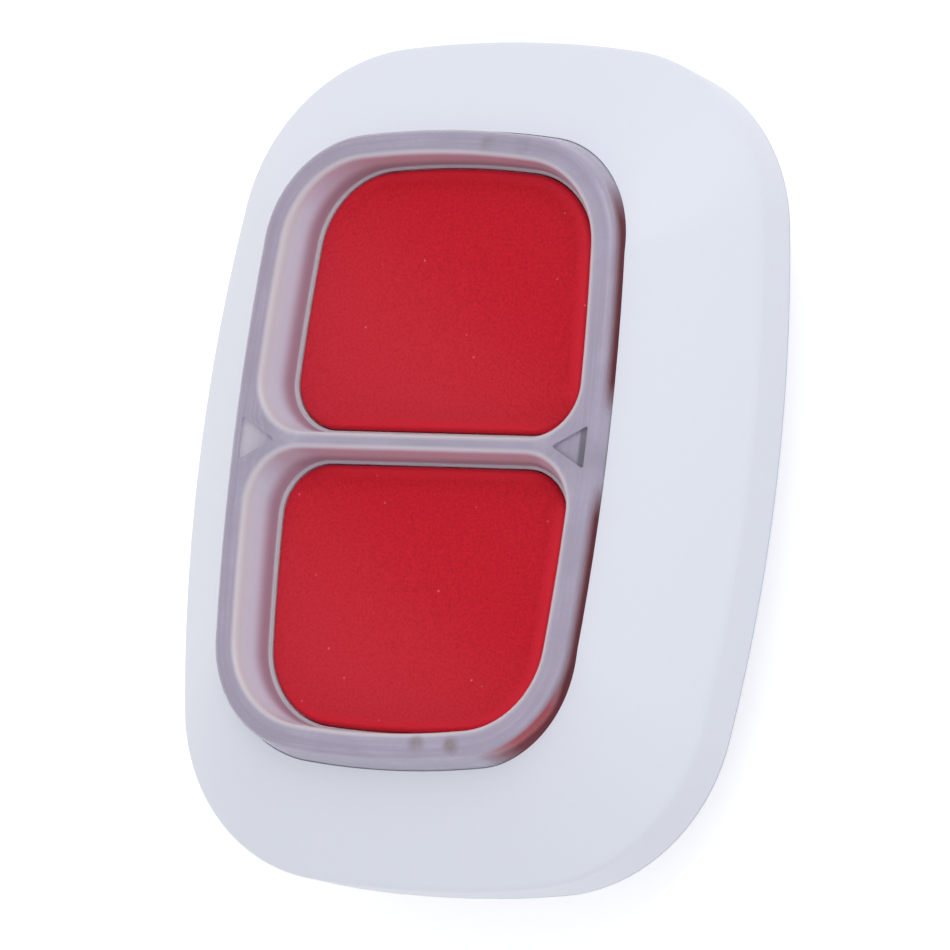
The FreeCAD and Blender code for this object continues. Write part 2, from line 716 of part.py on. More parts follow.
def make_rear_cover():
    body = new_body("rear_cover")
    base = outline_at(body, "base_outline", body_outline.inset(size("base_inset")), 0)
    low = outline_at(body, "dish_low", body_outline.inset(size("dish_low_inset")), size("dish_low_height"))
    mid = outline_at(body, "dish_mid", body_outline.inset(size("dish_mid_inset")), size("dish_mid_height"))
    top = outline_at(body, "dish_top", parting_outline, parting)
    loft(body, "cover_dish", "AdditiveLoft", [base, low, mid, top], False)
    tongue = outline_at(body, "tongue_outline", tongue_outside, parting)
    pad(body, "cover_tongue", tongue, size("tongue_height"))

    wall = size("cover_wall")
    floor = outline_at(body, "floor_outline", body_outline.inset(size("floor_inset")), wall)
    low_line = body_outline.inset(size("floor_low_inset"))
    low_floor = outline_at(body, "floor_low", low_line, size("floor_low_height"))
    mid_line = body_outline.inset(size("floor_mid_inset"))
    mid_floor = outline_at(body, "floor_mid", mid_line, size("floor_mid_height"))
    upper = outline_at(body, "floor_top", tongue_inside, parting + size("tongue_height"))
    loft(body, "cover_cavity", "SubtractiveLoft", [floor, low_floor, mid_floor, upper], False)

    rib_height = clip_base - wall
    rib = circles_at(body, "rib_outer", [(0, 0)], size("rib_radius"), wall)
    pad(body, "ring_rib", rib, rib_height)
    inside = circles_at(body, "rib_inner", [(0, 0)], size("rib_radius") - size("rib_thickness"), clip_base)
    cut_down(body, "ring_rib_bore", inside, rib_height)
    add_snap_hooks(body)
    add_strap_bar(body)

    half = size("pry_width") / 2
    outside = size("body_length") / -2 - size("pry_depth")
    inner = size("body_length") / -2 + size("pry_depth")
    slot = box_at(body, "pry_outline", (half * -1, outside, half, inner), parting)
    cut_down(body, "pry_slot", slot, size("pry_height"))
    return body


def add_snap_hooks(body):
    """Four hooks with a barb that rises past the lugs of the front case."""
    face = hook_face()
    back = face - size("hook_thickness")
    tip = face + size("hook_reach")
    top = hook_top
    catch = top - size("hook_reach")
    foot = parting - size("hook_thickness")
    for number, (side, end) in enumerate(CORNERS, start=1):
        # the plane's normal is -Y, so a sketch lifted by -y lies at y
        far_side = hook_y * end + size("hook_width") / 2
        sketch = new_sketch(body, f"hook_profile_{number}", "XZ_Plane", far_side * -1)
        draw_polygon(sketch, [
            (back * side, foot),
            (face * side, foot),
            (face * side, catch),
            (tip * side, catch),
            (tip * side, catch + size("hook_blunt")),
            (face * side, top),
            (back * side, top),
        ])
        pad(body, f"snap_hook_{number}", sketch, size("hook_width"))


def add_strap_bar(body):
    """A walled recess in the flat back, crossed by a round bar for a strap."""
    half_x = size("strap_width") / 2
    half_y = size("strap_length") / 2
    wall = size("strap_wall")
    place = body_outline.half_length - size("strap_margin")
    depth = size("strap_depth")
    outer = (half_x * -1 - wall, place - half_y - wall, half_x + wall, place + half_y + wall)
    inner = (half_x * -1, place - half_y, half_x, place + half_y)
    housing = box_at(body, "strap_housing_outline", outer, size("cover_wall") / 2)
    pad(body, "strap_housing", housing, depth + wall - size("cover_wall") / 2)
    recess = box_at(body, "strap_recess_outline", inner, 0)
    cut_up(body, "strap_recess", recess, depth)
    bar = new_sketch(body, "strap_bar_circle", "YZ_Plane", half_x * -1 - wall / 2)
    draw_circle(bar, place, size("strap_bar_height"), size("strap_bar_radius"))
    pad(body, "strap_bar", bar, half_x * 2 + wall)


# Seal between the case halves

def make_case_seal():
    body = new_body("case_seal")
    gap = size("seal_gap")
    outside = parting_outline.inset(size("seal_skirt") + gap)
    inside = tongue_outside.inset(gap * -1)
    ring = outline_at(body, "seal_outside", outside, parting)
    pad(body, "seal_ring", ring, size("seal_height"))
    hole = outline_at(body, "seal_inside", inside, parting)
    cut_up(body, "seal_opening", hole, size("seal_height"))
    return body


# Light frame: a clear rim with a bar between the keys and two three-cornered pockets

def make_light_frame():
    body = new_body("light_frame")
    low = outline_at(body, "frame_low", seat_outline, seat)
    top = outline_at(body, "frame_top", rim_outline, rim_top)
    loft(body, "frame_wall", "AdditiveLoft", [low, top], True)
    flange = outline_at(body, "frame_flange_outline", flange_outline, seat - size("flange_thickness"))
    pad(body, "frame_flange", flange, size("flange_thickness"))
    skirt_outline = rim_outline.inset(size("skirt_step") * -1)
    skirt = outline_at(body, "frame_skirt_outline", skirt_outline, board_top)
    pad(body, "frame_skirt", skirt, seat - size("flange_thickness") - board_top)

    well = half_at(body, "well_outline", well_outline, well_line, size("divider_flare"), rim_top)
    foot = half_at(body, "well_foot", foot_outline, foot_line, size("well_foot_round"), well_foot)
    well_cut = loft(body, "key_well", "SubtractiveLoft", [well, foot], True)
    lip = half_at(body, "lip_outline", foot_outline, foot_line, size("well_foot_round"), well_foot)
    lip_cut = cut_down(body, "key_opening", lip, size("lip_thickness"))
    chamber_round = size("chamber_round")
    chamber = half_at(body, "chamber_outline", chamber_outline, chamber_line, chamber_round, lip_base)
    chamber_cut = cut_down(body, "key_chamber", chamber, lip_base - board_top)

    window_x = size("lamp_spacing") / 2 + size("lamp_length") / 2 + size("lamp_gap")
    over = size("window_over")
    near, far = chamber_outline.half_length - over, skirt_outline.half_length + over
    window = box_at(body, "lamp_window_outline", (window_x * -1, near, window_x, far), board_top)
    window_cut = cut_up(body, "lamp_window", window, size("lamp_height") + size("lamp_gap"))

    apex_x = prism_base - size("prism_reach")
    half = size("prism_half_height")
    prism = new_sketch(body, "prism_outline", height=rim_top)
    draw_polygon(prism, [(apex_x, 0), (prism_base, half), (prism_base, half * -1)])
    prism_cut = cut_down(body, "light_pocket", prism, size("prism_depth"))
    pattern = turn_twice(body, "second_key", [well_cut, lip_cut, chamber_cut, window_cut, prism_cut])

    doc.recompute()
    uprights = upright_edges(pattern.Shape, rim_top - size("prism_depth"), rim_top)
    corners = [edge for edge, place in uprights.items() if in_prism(place)]
    softened = round_edges(body, "prism_corners", pattern, corners, size("prism_round"))
    doc.recompute()
    outer = [edge for edge, place in rim_edges(softened) if on_outline(place, rim_outline)]
    rounded = round_edges(body, "rim_outer_edge", softened, outer, size("rim_outer_round"))
    doc.recompute()
    outer_line = rim_outline.inset(size("rim_outer_round"))
    inner = [
        edge for edge, place in rim_edges(rounded)
        if not in_prism(place) and not on_outline(place, outer_line)
    ]
    round_edges(body, "rim_inner_edges", rounded, inner, size("rim_inner_round"))
    return body


def rim_edges(item):
    """The edges at the top of the rim, each with its middle point."""
    found = []
    for name in level_edges(item.Shape, rim_top):
        edge = item.Shape.getElement(name)
        found.append((name, edge.valueAt((edge.FirstParameter + edge.LastParameter) / 2)))
    return found


def on_outline(point, outline):
    """Whether a point lies on an outline, to a few hundredths."""
    x, y = abs(point.x), abs(point.y)
    side = abs(math.hypot(x - outline.side_centre(), y) - outline.side_bow.value)
    end = abs(math.hypot(x, y - outline.end_centre()) - outline.end_bow.value)
    corner_x, corner_y = outline.corner_centre()
    corner = abs(math.hypot(x - corner_x, y - corner_y) - outline.corner.value)
    return min(side, end, corner) < NEAR


def in_prism(point):
    inside_y = abs(point.y) < size("prism_half_height").value + TOUCH
    inside_x = abs(point.x) > (prism_base - size("prism_reach")).value - TOUCH
    return inside_y and inside_x


# Keys: domed caps with a flange under the lip and a post over the boot

def make_key(name, turn):
    body = new_body(name)
    outline = key_outline
    small = size("well_foot_round") - size("key_gap")
    cap = half_at(body, name + "_outline", outline, key_line, small, key_flange_top)
    pad(body, name + "_cap", cap, key_top - key_flange_top)
    gap = size("key_flange_gap")
    flange = half_at(
        body, name + "_flange_outline", chamber_outline.inset(gap), chamber_line + gap,
        size("chamber_round") - gap, key_base,
    )
    pad(body, name + "_flange", flange, size("key_flange_thickness"))

    # a ring above the dome, turned about the upright line through the middle of the key
    crown = new_sketch(body, name + "_crown_profile", "XZ_Plane", key_centre * -1)
    draw_crown(crown, outline.half_length)
    feature(body, "Groove", name + "_crown", crown, turned(crown))

    wall = size("key_wall")
    inside = outline.inset(wall)
    hollow = half_at(body, name + "_hollow_outline", inside, key_line + wall, small - wall, key_base)
    cut_up(body, name + "_hollow", hollow, key_top - wall - key_base)
    post = circles_at(body, name + "_post_circle", [(0, key_centre)], size("key_post_radius"), boot_top)
    pad(body, name + "_post", post, key_top - wall / 2 - boot_top)
    doc.recompute()
    solid = body.Tip.Shape
    face = [face for face in solid.Faces if isinstance(face.Surface, Part.Sphere)][0]
    rim = [
        f"Edge{index}"
        for index, edge in enumerate(solid.Edges, start=1)
        if any(edge.isSame(other) for other in face.OuterWire.Edges)
    ]
    round_edges(body, name + "_edge", body.Tip, rim, size("key_edge_round"))
    body.Placement = about_z(turn)
    return body


def draw_crown(sketch, reach):
    """The corner between a shallow arc and the level of its top."""
    radius = size("key_crown_radius")
    angle = math.asin(reach.value / radius.value)
    drop = radius.value * (1 - math.cos(angle))
    top = key_top.value
    above = top + size("key_ring_height").value
    start = FreeCAD.Vector(0, top, 0)
    end = FreeCAD.Vector(reach.value, top - drop, 0)
    sketch.addGeometry([
        arc(0, top - radius.value, radius.value, math.pi / 2 - angle, math.pi / 2),
        Part.LineSegment(start, FreeCAD.Vector(0, above, 0)),
        Part.LineSegment(FreeCAD.Vector(0, above, 0), FreeCAD.Vector(reach.value, above, 0)),
        Part.LineSegment(FreeCAD.Vector(reach.value, above, 0), end),
    ], False)
    link(sketch, "Coincident", 0, 2, 1, 1)
    link(sketch, "Coincident", 1, 2, 2, 1)
    link(sketch, "Coincident", 2, 2, 3, 1)
    link(sketch, "Coincident", 3, 2, 0, 1)
    link(sketch, "PointOnObject", 0, 3, -2)
    link(sketch, "PointOnObject", 0, 2, -2)
    link(sketch, "Vertical", 1)
    link(sketch, "Horizontal", 2)
    link(sketch, "Vertical", 3)
    fix(sketch, "Radius", 0, value=radius)
    fix(sketch, "DistanceY", -1, 1, 0, 2, value=key_top)
    fix(sketch, "DistanceY", 0, 2, 1, 2, value=size("key_ring_height"))
    fix(sketch, "DistanceX", 2, 1, 2, 2, value=reach)


# Boots: a soft bell over each switch, with a flange on the board inside the frame's skirt

def make_boot(name, turn):
    body = new_body(name)
    sheet = size("boot_sheet")
    gap = size("key_flange_gap")
    flange = half_at(
        body, name + "_flange_outline", chamber_outline.inset(gap), chamber_line + gap,
        size("chamber_round") - gap, board_top,
    )
    pad(body, name + "_flange", flange, sheet)
    low, high = size("boot_low_radius"), size("boot_high_radius")
    shoulder = board_top + size("switch_height") + size("boot_gap")
    crown_radius = size("key_post_radius")
    outside = new_sketch(body, name + "_bell_profile", "XZ_Plane", key_centre * -1)
    draw_polygon(outside, [
        (0, board_top),
        (low + sheet, board_top),
        (low + sheet, board_top + sheet),
        (high + sheet, shoulder + sheet),
        (crown_radius, boot_top),
        (0, boot_top),
    ])
    feature(body, "Revolution", name + "_bell", outside, turned(outside))
    inside = new_sketch(body, name + "_hollow_profile", "XZ_Plane", key_centre * -1)
    draw_polygon(inside, [
        (0, board_top),
        (low, board_top),
        (high, shoulder),
        (size("boot_top_radius"), plunger_top),
        (0, plunger_top),
    ])
    feature(body, "Groove", name + "_hollow", inside, turned(inside))
    body.Placement = about_z(turn)
    return body


# Circuit board with its screw holes and the notches for the hooks

def make_circuit_board():
    body = new_body("circuit_board")
    outline = outline_at(body, "board_outline", case_inside.inset(size("board_gap")), board_base)
    pad(body, "board_sheet", outline, size("board_thickness"))
    hole_radius = size("screw_radius") + size("board_hole_gap")
    holes = circles_at(body, "board_holes_circles", SCREW_PLACES, hole_radius, board_top)
    cut_down(body, "board_holes", holes, size("board_thickness"))
    notch = new_sketch(body, "board_notch_outlines", height=board_top)
    half = size("hook_width") / 2 + size("notch_end_gap")
    low_x = hook_face() - size("hook_thickness") - size("notch_back_gap")
    high_x = size("body_width") / 2
    for side, end in CORNERS:
        near = hook_y * end - half
        far = hook_y * end + half
        draw_box(notch, low_x * side, near, high_x * side, far)
    cut_down(body, "board_notches", notch, size("board_thickness"))
    return body


# Switches: a square case, a round plunger with a flange, a snap dome and four leads

def make_switch_body(name, turn):
    body = new_body(name)
    half = size("switch_width") / 2
    corners = (half * -1, key_centre - half, half, key_centre + half)
    square = box_at(body, name + "_square", corners, board_top)
    pad(body, name + "_block", square, size("switch_height"))
    room = new_sketch(body, name + "_room_profile", "XZ_Plane", key_centre * -1)
    bore = size("plunger_radius") + size("plunger_clearance")
    wide = size("switch_room")
    ceiling = plunger_flange_top + size("plunger_clearance")
    draw_polygon(room, [
        (0, board_top + size("switch_floor")),
        (wide, board_top + size("switch_floor")),
        (wide, ceiling),
        (bore, ceiling),
        (bore, board_top + size("switch_height")),
        (0, board_top + size("switch_height")),
    ])
    feature(body, "Groove", name + "_room", room, turned(room))
    body.Placement = about_z(turn)
    return body


def make_plunger(name, turn):
    body = new_body(name)
    radius = size("plunger_radius")
    wide = radius + size("plunger_flange")
    profile = new_sketch(body, name + "_profile", "XZ_Plane", key_centre * -1)
    draw_polygon(profile, [
        (0, plunger_base),
        (wide, plunger_base),
        (wide, plunger_flange_top),
        (radius, plunger_flange_top),
        (radius, plunger_top - size("plunger_chamfer")),
        (radius - size("plunger_chamfer"), plunger_top),
        (0, plunger_top),
    ])
    feature(body, "Revolution", name + "_turned", profile, turned(profile))
    body.Placement = about_z(turn)
    return body


def make_snap_dome(name, turn):
    """A thin shallow cap: two arcs about the upright line through the switch."""
    body = new_body(name)
    sheet = size("dome_sheet")
    radius = size("dome_radius")
    low = board_top + size("switch_floor")
    profile = new_sketch(body, name + "_profile", "XZ_Plane", key_centre * -1)
    for index, lift in enumerate((sheet * 0, sheet)):
        foot_z, top_z = low + lift, plunger_base - sheet + lift
        rise = top_z.value - foot_z.value
        bend = (radius.value ** 2 + rise ** 2) / (2 * rise)
        angle = math.asin(radius.value / bend)
        profile.addGeometry(
            arc(0, top_z.value - bend, bend, math.pi / 2 - angle, math.pi / 2), False
        )
        link(profile, "PointOnObject", index, 3, -2)
        place_point(profile, index, 1, radius, foot_z)
        link(profile, "PointOnObject", index, 2, -2)
        fix(profile, "DistanceY", -1, 1, index, 2, value=top_z)
    for point in (1, 2):
        first, second = profile.getPoint(0, point), profile.getPoint(1, point)
        line = profile.addGeometry(Part.LineSegment(first, second), False)
        link(profile, "Coincident", line, 1, 0, point)
        link(profile, "Coincident", line, 2, 1, point)
    feature(body, "Revolution", name + "_cap", profile, turned(profile))
    body.Placement = about_z(turn)
    return body


def make_leads(name, turn):
    body = new_body(name)
    body.AllowCompound = True
    near = size("switch_width") / 2
    sketch = new_sketch(body, name + "_outlines", height=board_top)
    half = size("lead_width") / 2
    for side in (1, -1):
        for step in (1, -1):
            middle = key_centre + size("lead_spacing") / 2 * step
            draw_box(sketch, near * side, middle - half, (near + size("lead_length")) * side, middle + half)
    pad(body, name + "_strips", sketch, size("lead_thickness"))
    body.Placement = about_z(turn)
    return body


# Coin cell and its two contacts

def make_coin_cell():
    body = new_body("coin_cell")
    radius = size("cell_diameter") / 2
    inner = size("cell_cap_diameter") / 2
    shoulder = cell_top - size("cell_step")
    bend = size("cell_round")
    profile = new_sketch(body, "cell_profile", "XZ_Plane")
    draw_polygon(profile, [
        (0, cell_base),
        (radius - bend, cell_base),
        (radius, cell_base + bend),
        (radius, shoulder - bend),
        (radius - bend, shoulder),
        (inner, shoulder),
        (inner, cell_top),
        (0, cell_top),
    ])
    feature(body, "Revolution", "cell_can", profile, turned(profile))
    return body


def make_battery_clip():
    """A bent strap under the cell, with feet on the board and a slit spring tongue."""
    body = new_body("battery_clip")
    sheet = size("clip_thickness")
    inner = size("cell_diameter") / 2 + size("clip_gap")
    outer = inner + sheet
    foot = outer + size("clip_foot")
    half = size("clip_width") / 2
    profile = new_sketch(body, "clip_profile", "XZ_Plane", half * -1)
    right = [
        (outer, clip_base),
        (outer, board_base - sheet),
        (foot, board_base - sheet),
        (foot, board_base),
        (inner, board_base),
        (inner, cell_base),
    ]
    left = [(x * -1, z) for x, z in reversed(right)]
    draw_polygon(profile, right + left)
    pad(body, "clip_strap", profile, size("clip_width"))
    slit = new_sketch(body, "clip_slit_outlines", height=cell_base)
    reach = size("clip_tongue") / 2
    for side in (1, -1):
        near = size("clip_slit_place") * side
        far = near + size("clip_slit") * side
        draw_box(slit, reach * -1, near, reach, far)
    cut_down(body, "clip_slits", slit, sheet)
    return body


def make_negative_contact():
    body = new_body("negative_contact")
    sheet = size("clip_thickness")
    foot, bend = size("contact_foot") * -1, size("contact_bend")
    touch, tip = size("contact_touch"), size("contact_reach")
    half = size("contact_width") / 2
    profile = new_sketch(body, "contact_profile", "XZ_Plane", half * -1)
    draw_polygon(profile, [
        (foot, board_base - sheet),
        (bend, board_base - sheet),
        (touch, cell_top),
        (tip, cell_top + sheet),
        (tip, cell_top + sheet * 2),
        (touch, cell_top + sheet),
        (bend, board_base),
        (foot, board_base),
    ])
    pad(body, "contact_leaf", profile, size("contact_width"))
    return body


# Parts under the board: radio chip, crystal, capacitors and the wire antenna

def block_under_board(body, name, x, y, length, width, height):
    low_x, low_y = as_length(x) - length / 2, as_length(y) - width / 2
    corners = (low_x, low_y, low_x + length, low_y + width)
    sketch = box_at(body, name + "_outline", corners, board_base - height)
    return pad(body, name, sketch, height)


def make_radio_chip():
    body = new_body("radio_chip")
    side, height = size("chip_side"), size("chip_height")
    block = block_under_board(body, "chip_block", 0, chip_y, side, side, height)
    doc.recompute()
    item = body.newObject("PartDesign::Chamfer", "chip_corners")
    item.Base = (block, list(upright_edges(block.Shape, board_base - height, board_base)))
    item.Size = size("chip_corner").value
    item.setExpression("Size", size("chip_corner").formula)
    return body


def make_crystal():
    body = new_body("crystal")
    x, y = crystal_x, chip_y
    length, width, height = size("crystal_length"), size("crystal_width"), size("crystal_height")
    block_under_board(body, "crystal_base", x, y, length, width, size("crystal_base_height"))
    step = size("crystal_step") * 2
    block_under_board(body, "crystal_lid", x, y, length - step, width - step, height)
    return body


def make_storage_capacitor():
    body = new_body("storage_capacitor")
    x, y = crystal_x * -1, chip_y
    length, width, height = size("storage_length"), size("storage_width"), size("storage_height")
    block_under_board(body, "storage_block", x, y, length, width, height)
    return body


def make_chip_capacitors():
    body = new_body("chip_capacitors")
    body.AllowCompound = True
    length, height = size("passive_length"), size("passive_width")
    sketch = new_sketch(body, "passive_outlines", height=board_base - height)
    near = chip_y - size("chip_side") / 2 - length / 2
    for step in PASSIVE_STEPS:
        left = size("passive_pitch") * step - height / 2
        draw_box(sketch, left, near - length, left + height, near)
    pad(body, "passive_blocks", sketch, height)
    return body


def make_antenna():
    """A bent wire: two legs into the board and a straight run between two bends."""
    body = new_body("antenna")
    half = body_outline.half_width - size("antenna_side_margin")
    drop, bend = size("antenna_drop"), size("antenna_bend")
    place = body_outline.half_length - size("antenna_end_margin")
    spine = new_sketch(body, "antenna_path", "XZ_Plane", place * -1)
    x, low, high, turn = half.value, (board_base - drop).value, board_base.value, bend.value
    spine.addGeometry([
        Part.LineSegment(FreeCAD.Vector(-x, high, 0), FreeCAD.Vector(-x, low + turn, 0)),
        arc(-x + turn, low + turn, turn, math.pi, math.pi * 3 / 2),
        Part.LineSegment(FreeCAD.Vector(-x + turn, low, 0), FreeCAD.Vector(x - turn, low, 0)),
        arc(x - turn, low + turn, turn, math.pi * 3 / 2, math.pi * 2),
        Part.LineSegment(FreeCAD.Vector(x, low + turn, 0), FreeCAD.Vector(x, high, 0)),
    ], False)
    link(spine, "Tangent", 0, 2, 1, 1)
    link(spine, "Tangent", 1, 2, 2, 1)
    link(spine, "Tangent", 2, 2, 3, 1)
    link(spine, "Tangent", 3, 2, 4, 1)
    link(spine, "Vertical", 0)
    link(spine, "Horizontal", 2)
    fix(spine, "Radius", 1, value=bend)
    fix(spine, "Radius", 3, value=bend)
    place_point(spine, 0, 1, half * -1, board_base)
    place_point(spine, 4, 2, half, board_base)
    fix(spine, "DistanceY", 2, 1, 0, 1, value=drop)
    profile = circles_at(body, "antenna_section", [(half * -1, place)], size("antenna_radius"), board_base)
    pipe = body.newObject("PartDesign::AdditivePipe", "antenna_wire")
    pipe.Profile = profile
    pipe.Spine = (spine, [f"Edge{index}" for index in range(1, 6)])
    return body


# Board screws: four alike, heads under the board

def make_board_screws():
    body = new_body("board_screws")
    body.AllowCompound = True
    head_height = size("screw_head_height")
    low = board_base - head_height
    heads = circles_at(body, "head_circles", SCREW_PLACES, size("screw_head_radius"), low)
    pad(body, "screw_heads", heads, head_height)
    shanks = circles_at(body, "shank_circles", SCREW_PLACES, size("screw_radius"), board_base)
    pad(body, "screw_shanks", shanks, size("screw_length"))
    reach, half = size("slot_length") / 2, size("slot_width") / 2
    for name, wide, tall in (("slot_across", reach, half), ("slot_along", half, reach)):
        slots = new_sketch(body, name + "_outlines", height=low)
        for x, y in SCREW_PLACES:
            draw_box(slots, x - wide, y - tall, x + wide, y + tall)
        cut_up(body, name, slots, size("slot_depth"))
    return body


# Lamps: two pairs on the board, under the ends of the light frame

def make_lamp(name, x, y):
    body = new_body(name)
    length, width, height = size("lamp_length"), size("lamp_width"), size("lamp_height")
    corners = (x - length / 2, y - width / 2, x + length / 2, y + width / 2)
    base = box_at(body, name + "_base_outline", corners, board_top)
    pad(body, name + "_base", base, size("lamp_base_height"))
    half = size("lamp_lens_length") / 2
    corners = (x - half, y - width / 2, x + half, y + width / 2)
    lens = box_at(body, name + "_lens_outline", corners, board_top)
    block = pad(body, name + "_lens", lens, height)
    doc.recompute()
    top_edges = level_edges(block.Shape, board_top + height)
    round_edges(body, name + "_lens_round", block, top_edges, size("lamp_round"))
    return body


def check_and_write(pieces):
    doc.recompute()
    for item in doc.Objects:
        bad = [word for word in item.State if word in ("Invalid", "Error")]
        if bad:
            raise RuntimeError(f"{item.Name} is {bad}")
    os.makedirs("parts", exist_ok=True)
    for item in pieces:
        shape = item.Shape
        if shape.isNull() or not shape.isValid():
            raise RuntimeError(f"{item.Label} has no valid shape")
        shape.exportStep(f"parts/{item.Label}.step")


def make_all():
    pieces = [
        make_front_case(),
        make_rear_cover(),
        make_case_seal(),
        make_light_frame(),
        make_circuit_board(),
        make_coin_cell(),
        make_battery_clip(),
        make_negative_contact(),
        make_radio_chip(),
        make_crystal(),
        make_storage_capacitor(),
        make_chip_capacitors(),
        make_antenna(),
        make_board_screws(),
    ]
    for which, turn in (("upper", 0), ("lower", 180)):
        pieces.append(make_key(which + "_button", turn))
        pieces.append(make_boot(which + "_boot", turn))
        pieces.append(make_switch_body(which + "_switch_body", turn))
        pieces.append(make_plunger(which + "_switch_plunger", turn))
        pieces.append(make_snap_dome(which + "_switch_dome", turn))
        pieces.append(make_leads(which + "_switch_leads", turn))
    half = size("lamp_spacing") / 2
    for row, end in (("top", 1), ("bottom", -1)):
        for column, side in (("left", -1), ("right", 1)):
            pieces.append(make_lamp(f"{row}_{column}_lamp", half * side, lamp_y * end))
    return pieces


check_and_write(make_all())
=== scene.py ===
import json
import math

import bmesh
import bpy
from bpy.props import FloatProperty, FloatVectorProperty, PointerProperty
from mathutils import Matrix, Vector


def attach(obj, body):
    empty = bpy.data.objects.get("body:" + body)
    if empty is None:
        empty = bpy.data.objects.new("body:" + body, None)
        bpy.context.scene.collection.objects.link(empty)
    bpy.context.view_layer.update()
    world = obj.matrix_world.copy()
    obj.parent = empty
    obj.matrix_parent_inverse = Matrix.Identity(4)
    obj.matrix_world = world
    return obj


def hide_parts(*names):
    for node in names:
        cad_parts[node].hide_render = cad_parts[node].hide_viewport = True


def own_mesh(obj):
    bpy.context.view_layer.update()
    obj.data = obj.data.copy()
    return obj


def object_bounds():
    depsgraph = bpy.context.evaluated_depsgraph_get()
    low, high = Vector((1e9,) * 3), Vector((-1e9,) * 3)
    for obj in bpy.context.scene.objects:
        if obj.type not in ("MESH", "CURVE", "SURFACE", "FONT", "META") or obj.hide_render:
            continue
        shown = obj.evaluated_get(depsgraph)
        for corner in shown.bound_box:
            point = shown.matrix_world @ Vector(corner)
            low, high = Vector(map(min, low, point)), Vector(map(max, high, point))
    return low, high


bl_info = {
    "name": "Wireless panic button",
    "version": (1, 0, 0),
    "blender": (4, 5, 0),
    "location": "3D View > Sidebar > Panic Button",
    "description": "Builds a palm-sized panic button with two recessed keys in a clear light frame",
    "category": "Object",
}

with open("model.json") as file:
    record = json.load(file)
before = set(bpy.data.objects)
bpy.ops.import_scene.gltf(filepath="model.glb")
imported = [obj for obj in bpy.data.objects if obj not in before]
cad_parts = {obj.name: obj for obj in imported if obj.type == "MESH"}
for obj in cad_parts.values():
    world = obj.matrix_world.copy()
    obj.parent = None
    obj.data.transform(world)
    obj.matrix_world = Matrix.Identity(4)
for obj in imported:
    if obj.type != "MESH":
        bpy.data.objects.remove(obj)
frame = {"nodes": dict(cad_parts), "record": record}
nodes = frame["nodes"]
cad_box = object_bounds()

MM = 0.001
TOP = cad_box[1].z

# How finely curves are cut, and the smallest sizes that count
SIDE_STEPS = 12
END_STEPS = 12
CORNER_STEPS = 30
SMALL_STEPS = 16
FACE_STEPS = 14
ROUND_STEPS = 6
POCKET_STEPS = 4
PILLAR_SIDES = 48
CROWN_CORE = 0.25
SMOOTH_ANGLE = math.radians(32)
HAIR = 0.001 * MM
SLIVER = (0.01 * MM) ** 2

# Fits with the solids. A drop is measured down from the top of the button.
SEAT_DROP = 5.0 * MM
SEAT_CUT_DROP = 6.0 * MM
CUT_DROP = 9.0 * MM

# Front case
FACE_PAST_SIDE = 0.18 * MM
FACE_SHORT_OF_END = 1.4 * MM
FACE_CORNER_LESS = 1.2 * MM
PARTING_GROOVE = 0.1 * MM
HOLLOW_BELOW_CREASE = 0.8 * MM
HOLLOW_BELOW_FACE = 2.05 * MM
SEAL_STEP_IN = 0.85 * MM
SEAL_STEP_RISE = 0.6 * MM
COLLAR_WALL = 0.9 * MM
COLLAR_DROP = 3.1 * MM
OPENING_GAP = 0.035 * MM
BOSS_X, BOSS_Y = 10.8 * MM, 16.85 * MM
BOSS_RADIUS, BOSS_FOOT_DROP, BOSS_TOP_DROP = 1.1 * MM, 8.0 * MM, 5.1 * MM
SCREW_RADIUS, SCREW_FOOT_DROP, SCREW_TOP_DROP = 0.65 * MM, 8.5 * MM, 5.7 * MM
LUG_IN, LUG_OUT = 15.07 * MM, 16.2 * MM
LUG_MIDDLE, LUG_HALF = 7.0 * MM, 1.8 * MM
LUG_FOOT_DROP, LUG_TOP_DROP = 8.05 * MM, 7.55 * MM

# Light frame
SKIRT_OUT, SKIRT_DROP = 0.3 * MM, 8.0 * MM
FLANGE_OUT, FLANGE_DROP = 0.45 * MM, 5.8 * MM
CHAMBER_WALL, CHAMBER_LINE, CHAMBER_CORNER = 0.8 * MM, 0.4 * MM, 2.0 * MM
POCKET_DEPTH = 0.2 * MM
POCKET_INSET = 0.6 * MM
POCKET_LENGTH = 2.15 * MM
POCKET_HALF = 1.2 * MM
POCKET_ROUND = 0.2 * MM
WINDOW_HALF = 2.1 * MM
WINDOW_IN, WINDOW_OUT, WINDOW_DROP = 1.1 * MM, 0.6 * MM, 7.05 * MM

# Keys
KEY_FLANGE_IN, KEY_FLANGE_LINE, KEY_FLANGE_CORNER = 0.95 * MM, 0.55 * MM, 1.85 * MM
KEY_FLANGE, KEY_FLANGE_GAP = 0.7 * MM, 0.1 * MM
KEY_WALL = 1.0 * MM
POST_RADIUS, POST_DROP, POST_BELOW_CROWN = 2.3 * MM, 5.1 * MM, 0.5 * MM

# Soft pieces: name, material slot, drop of the foot, share of the height kept when pressed
SOFT_PARTS = (
    ("boot", "boot_rubber", 8.0 * MM, 0.862),
    ("switch_dome", "contact_metal", 7.75 * MM, 0.17),
)

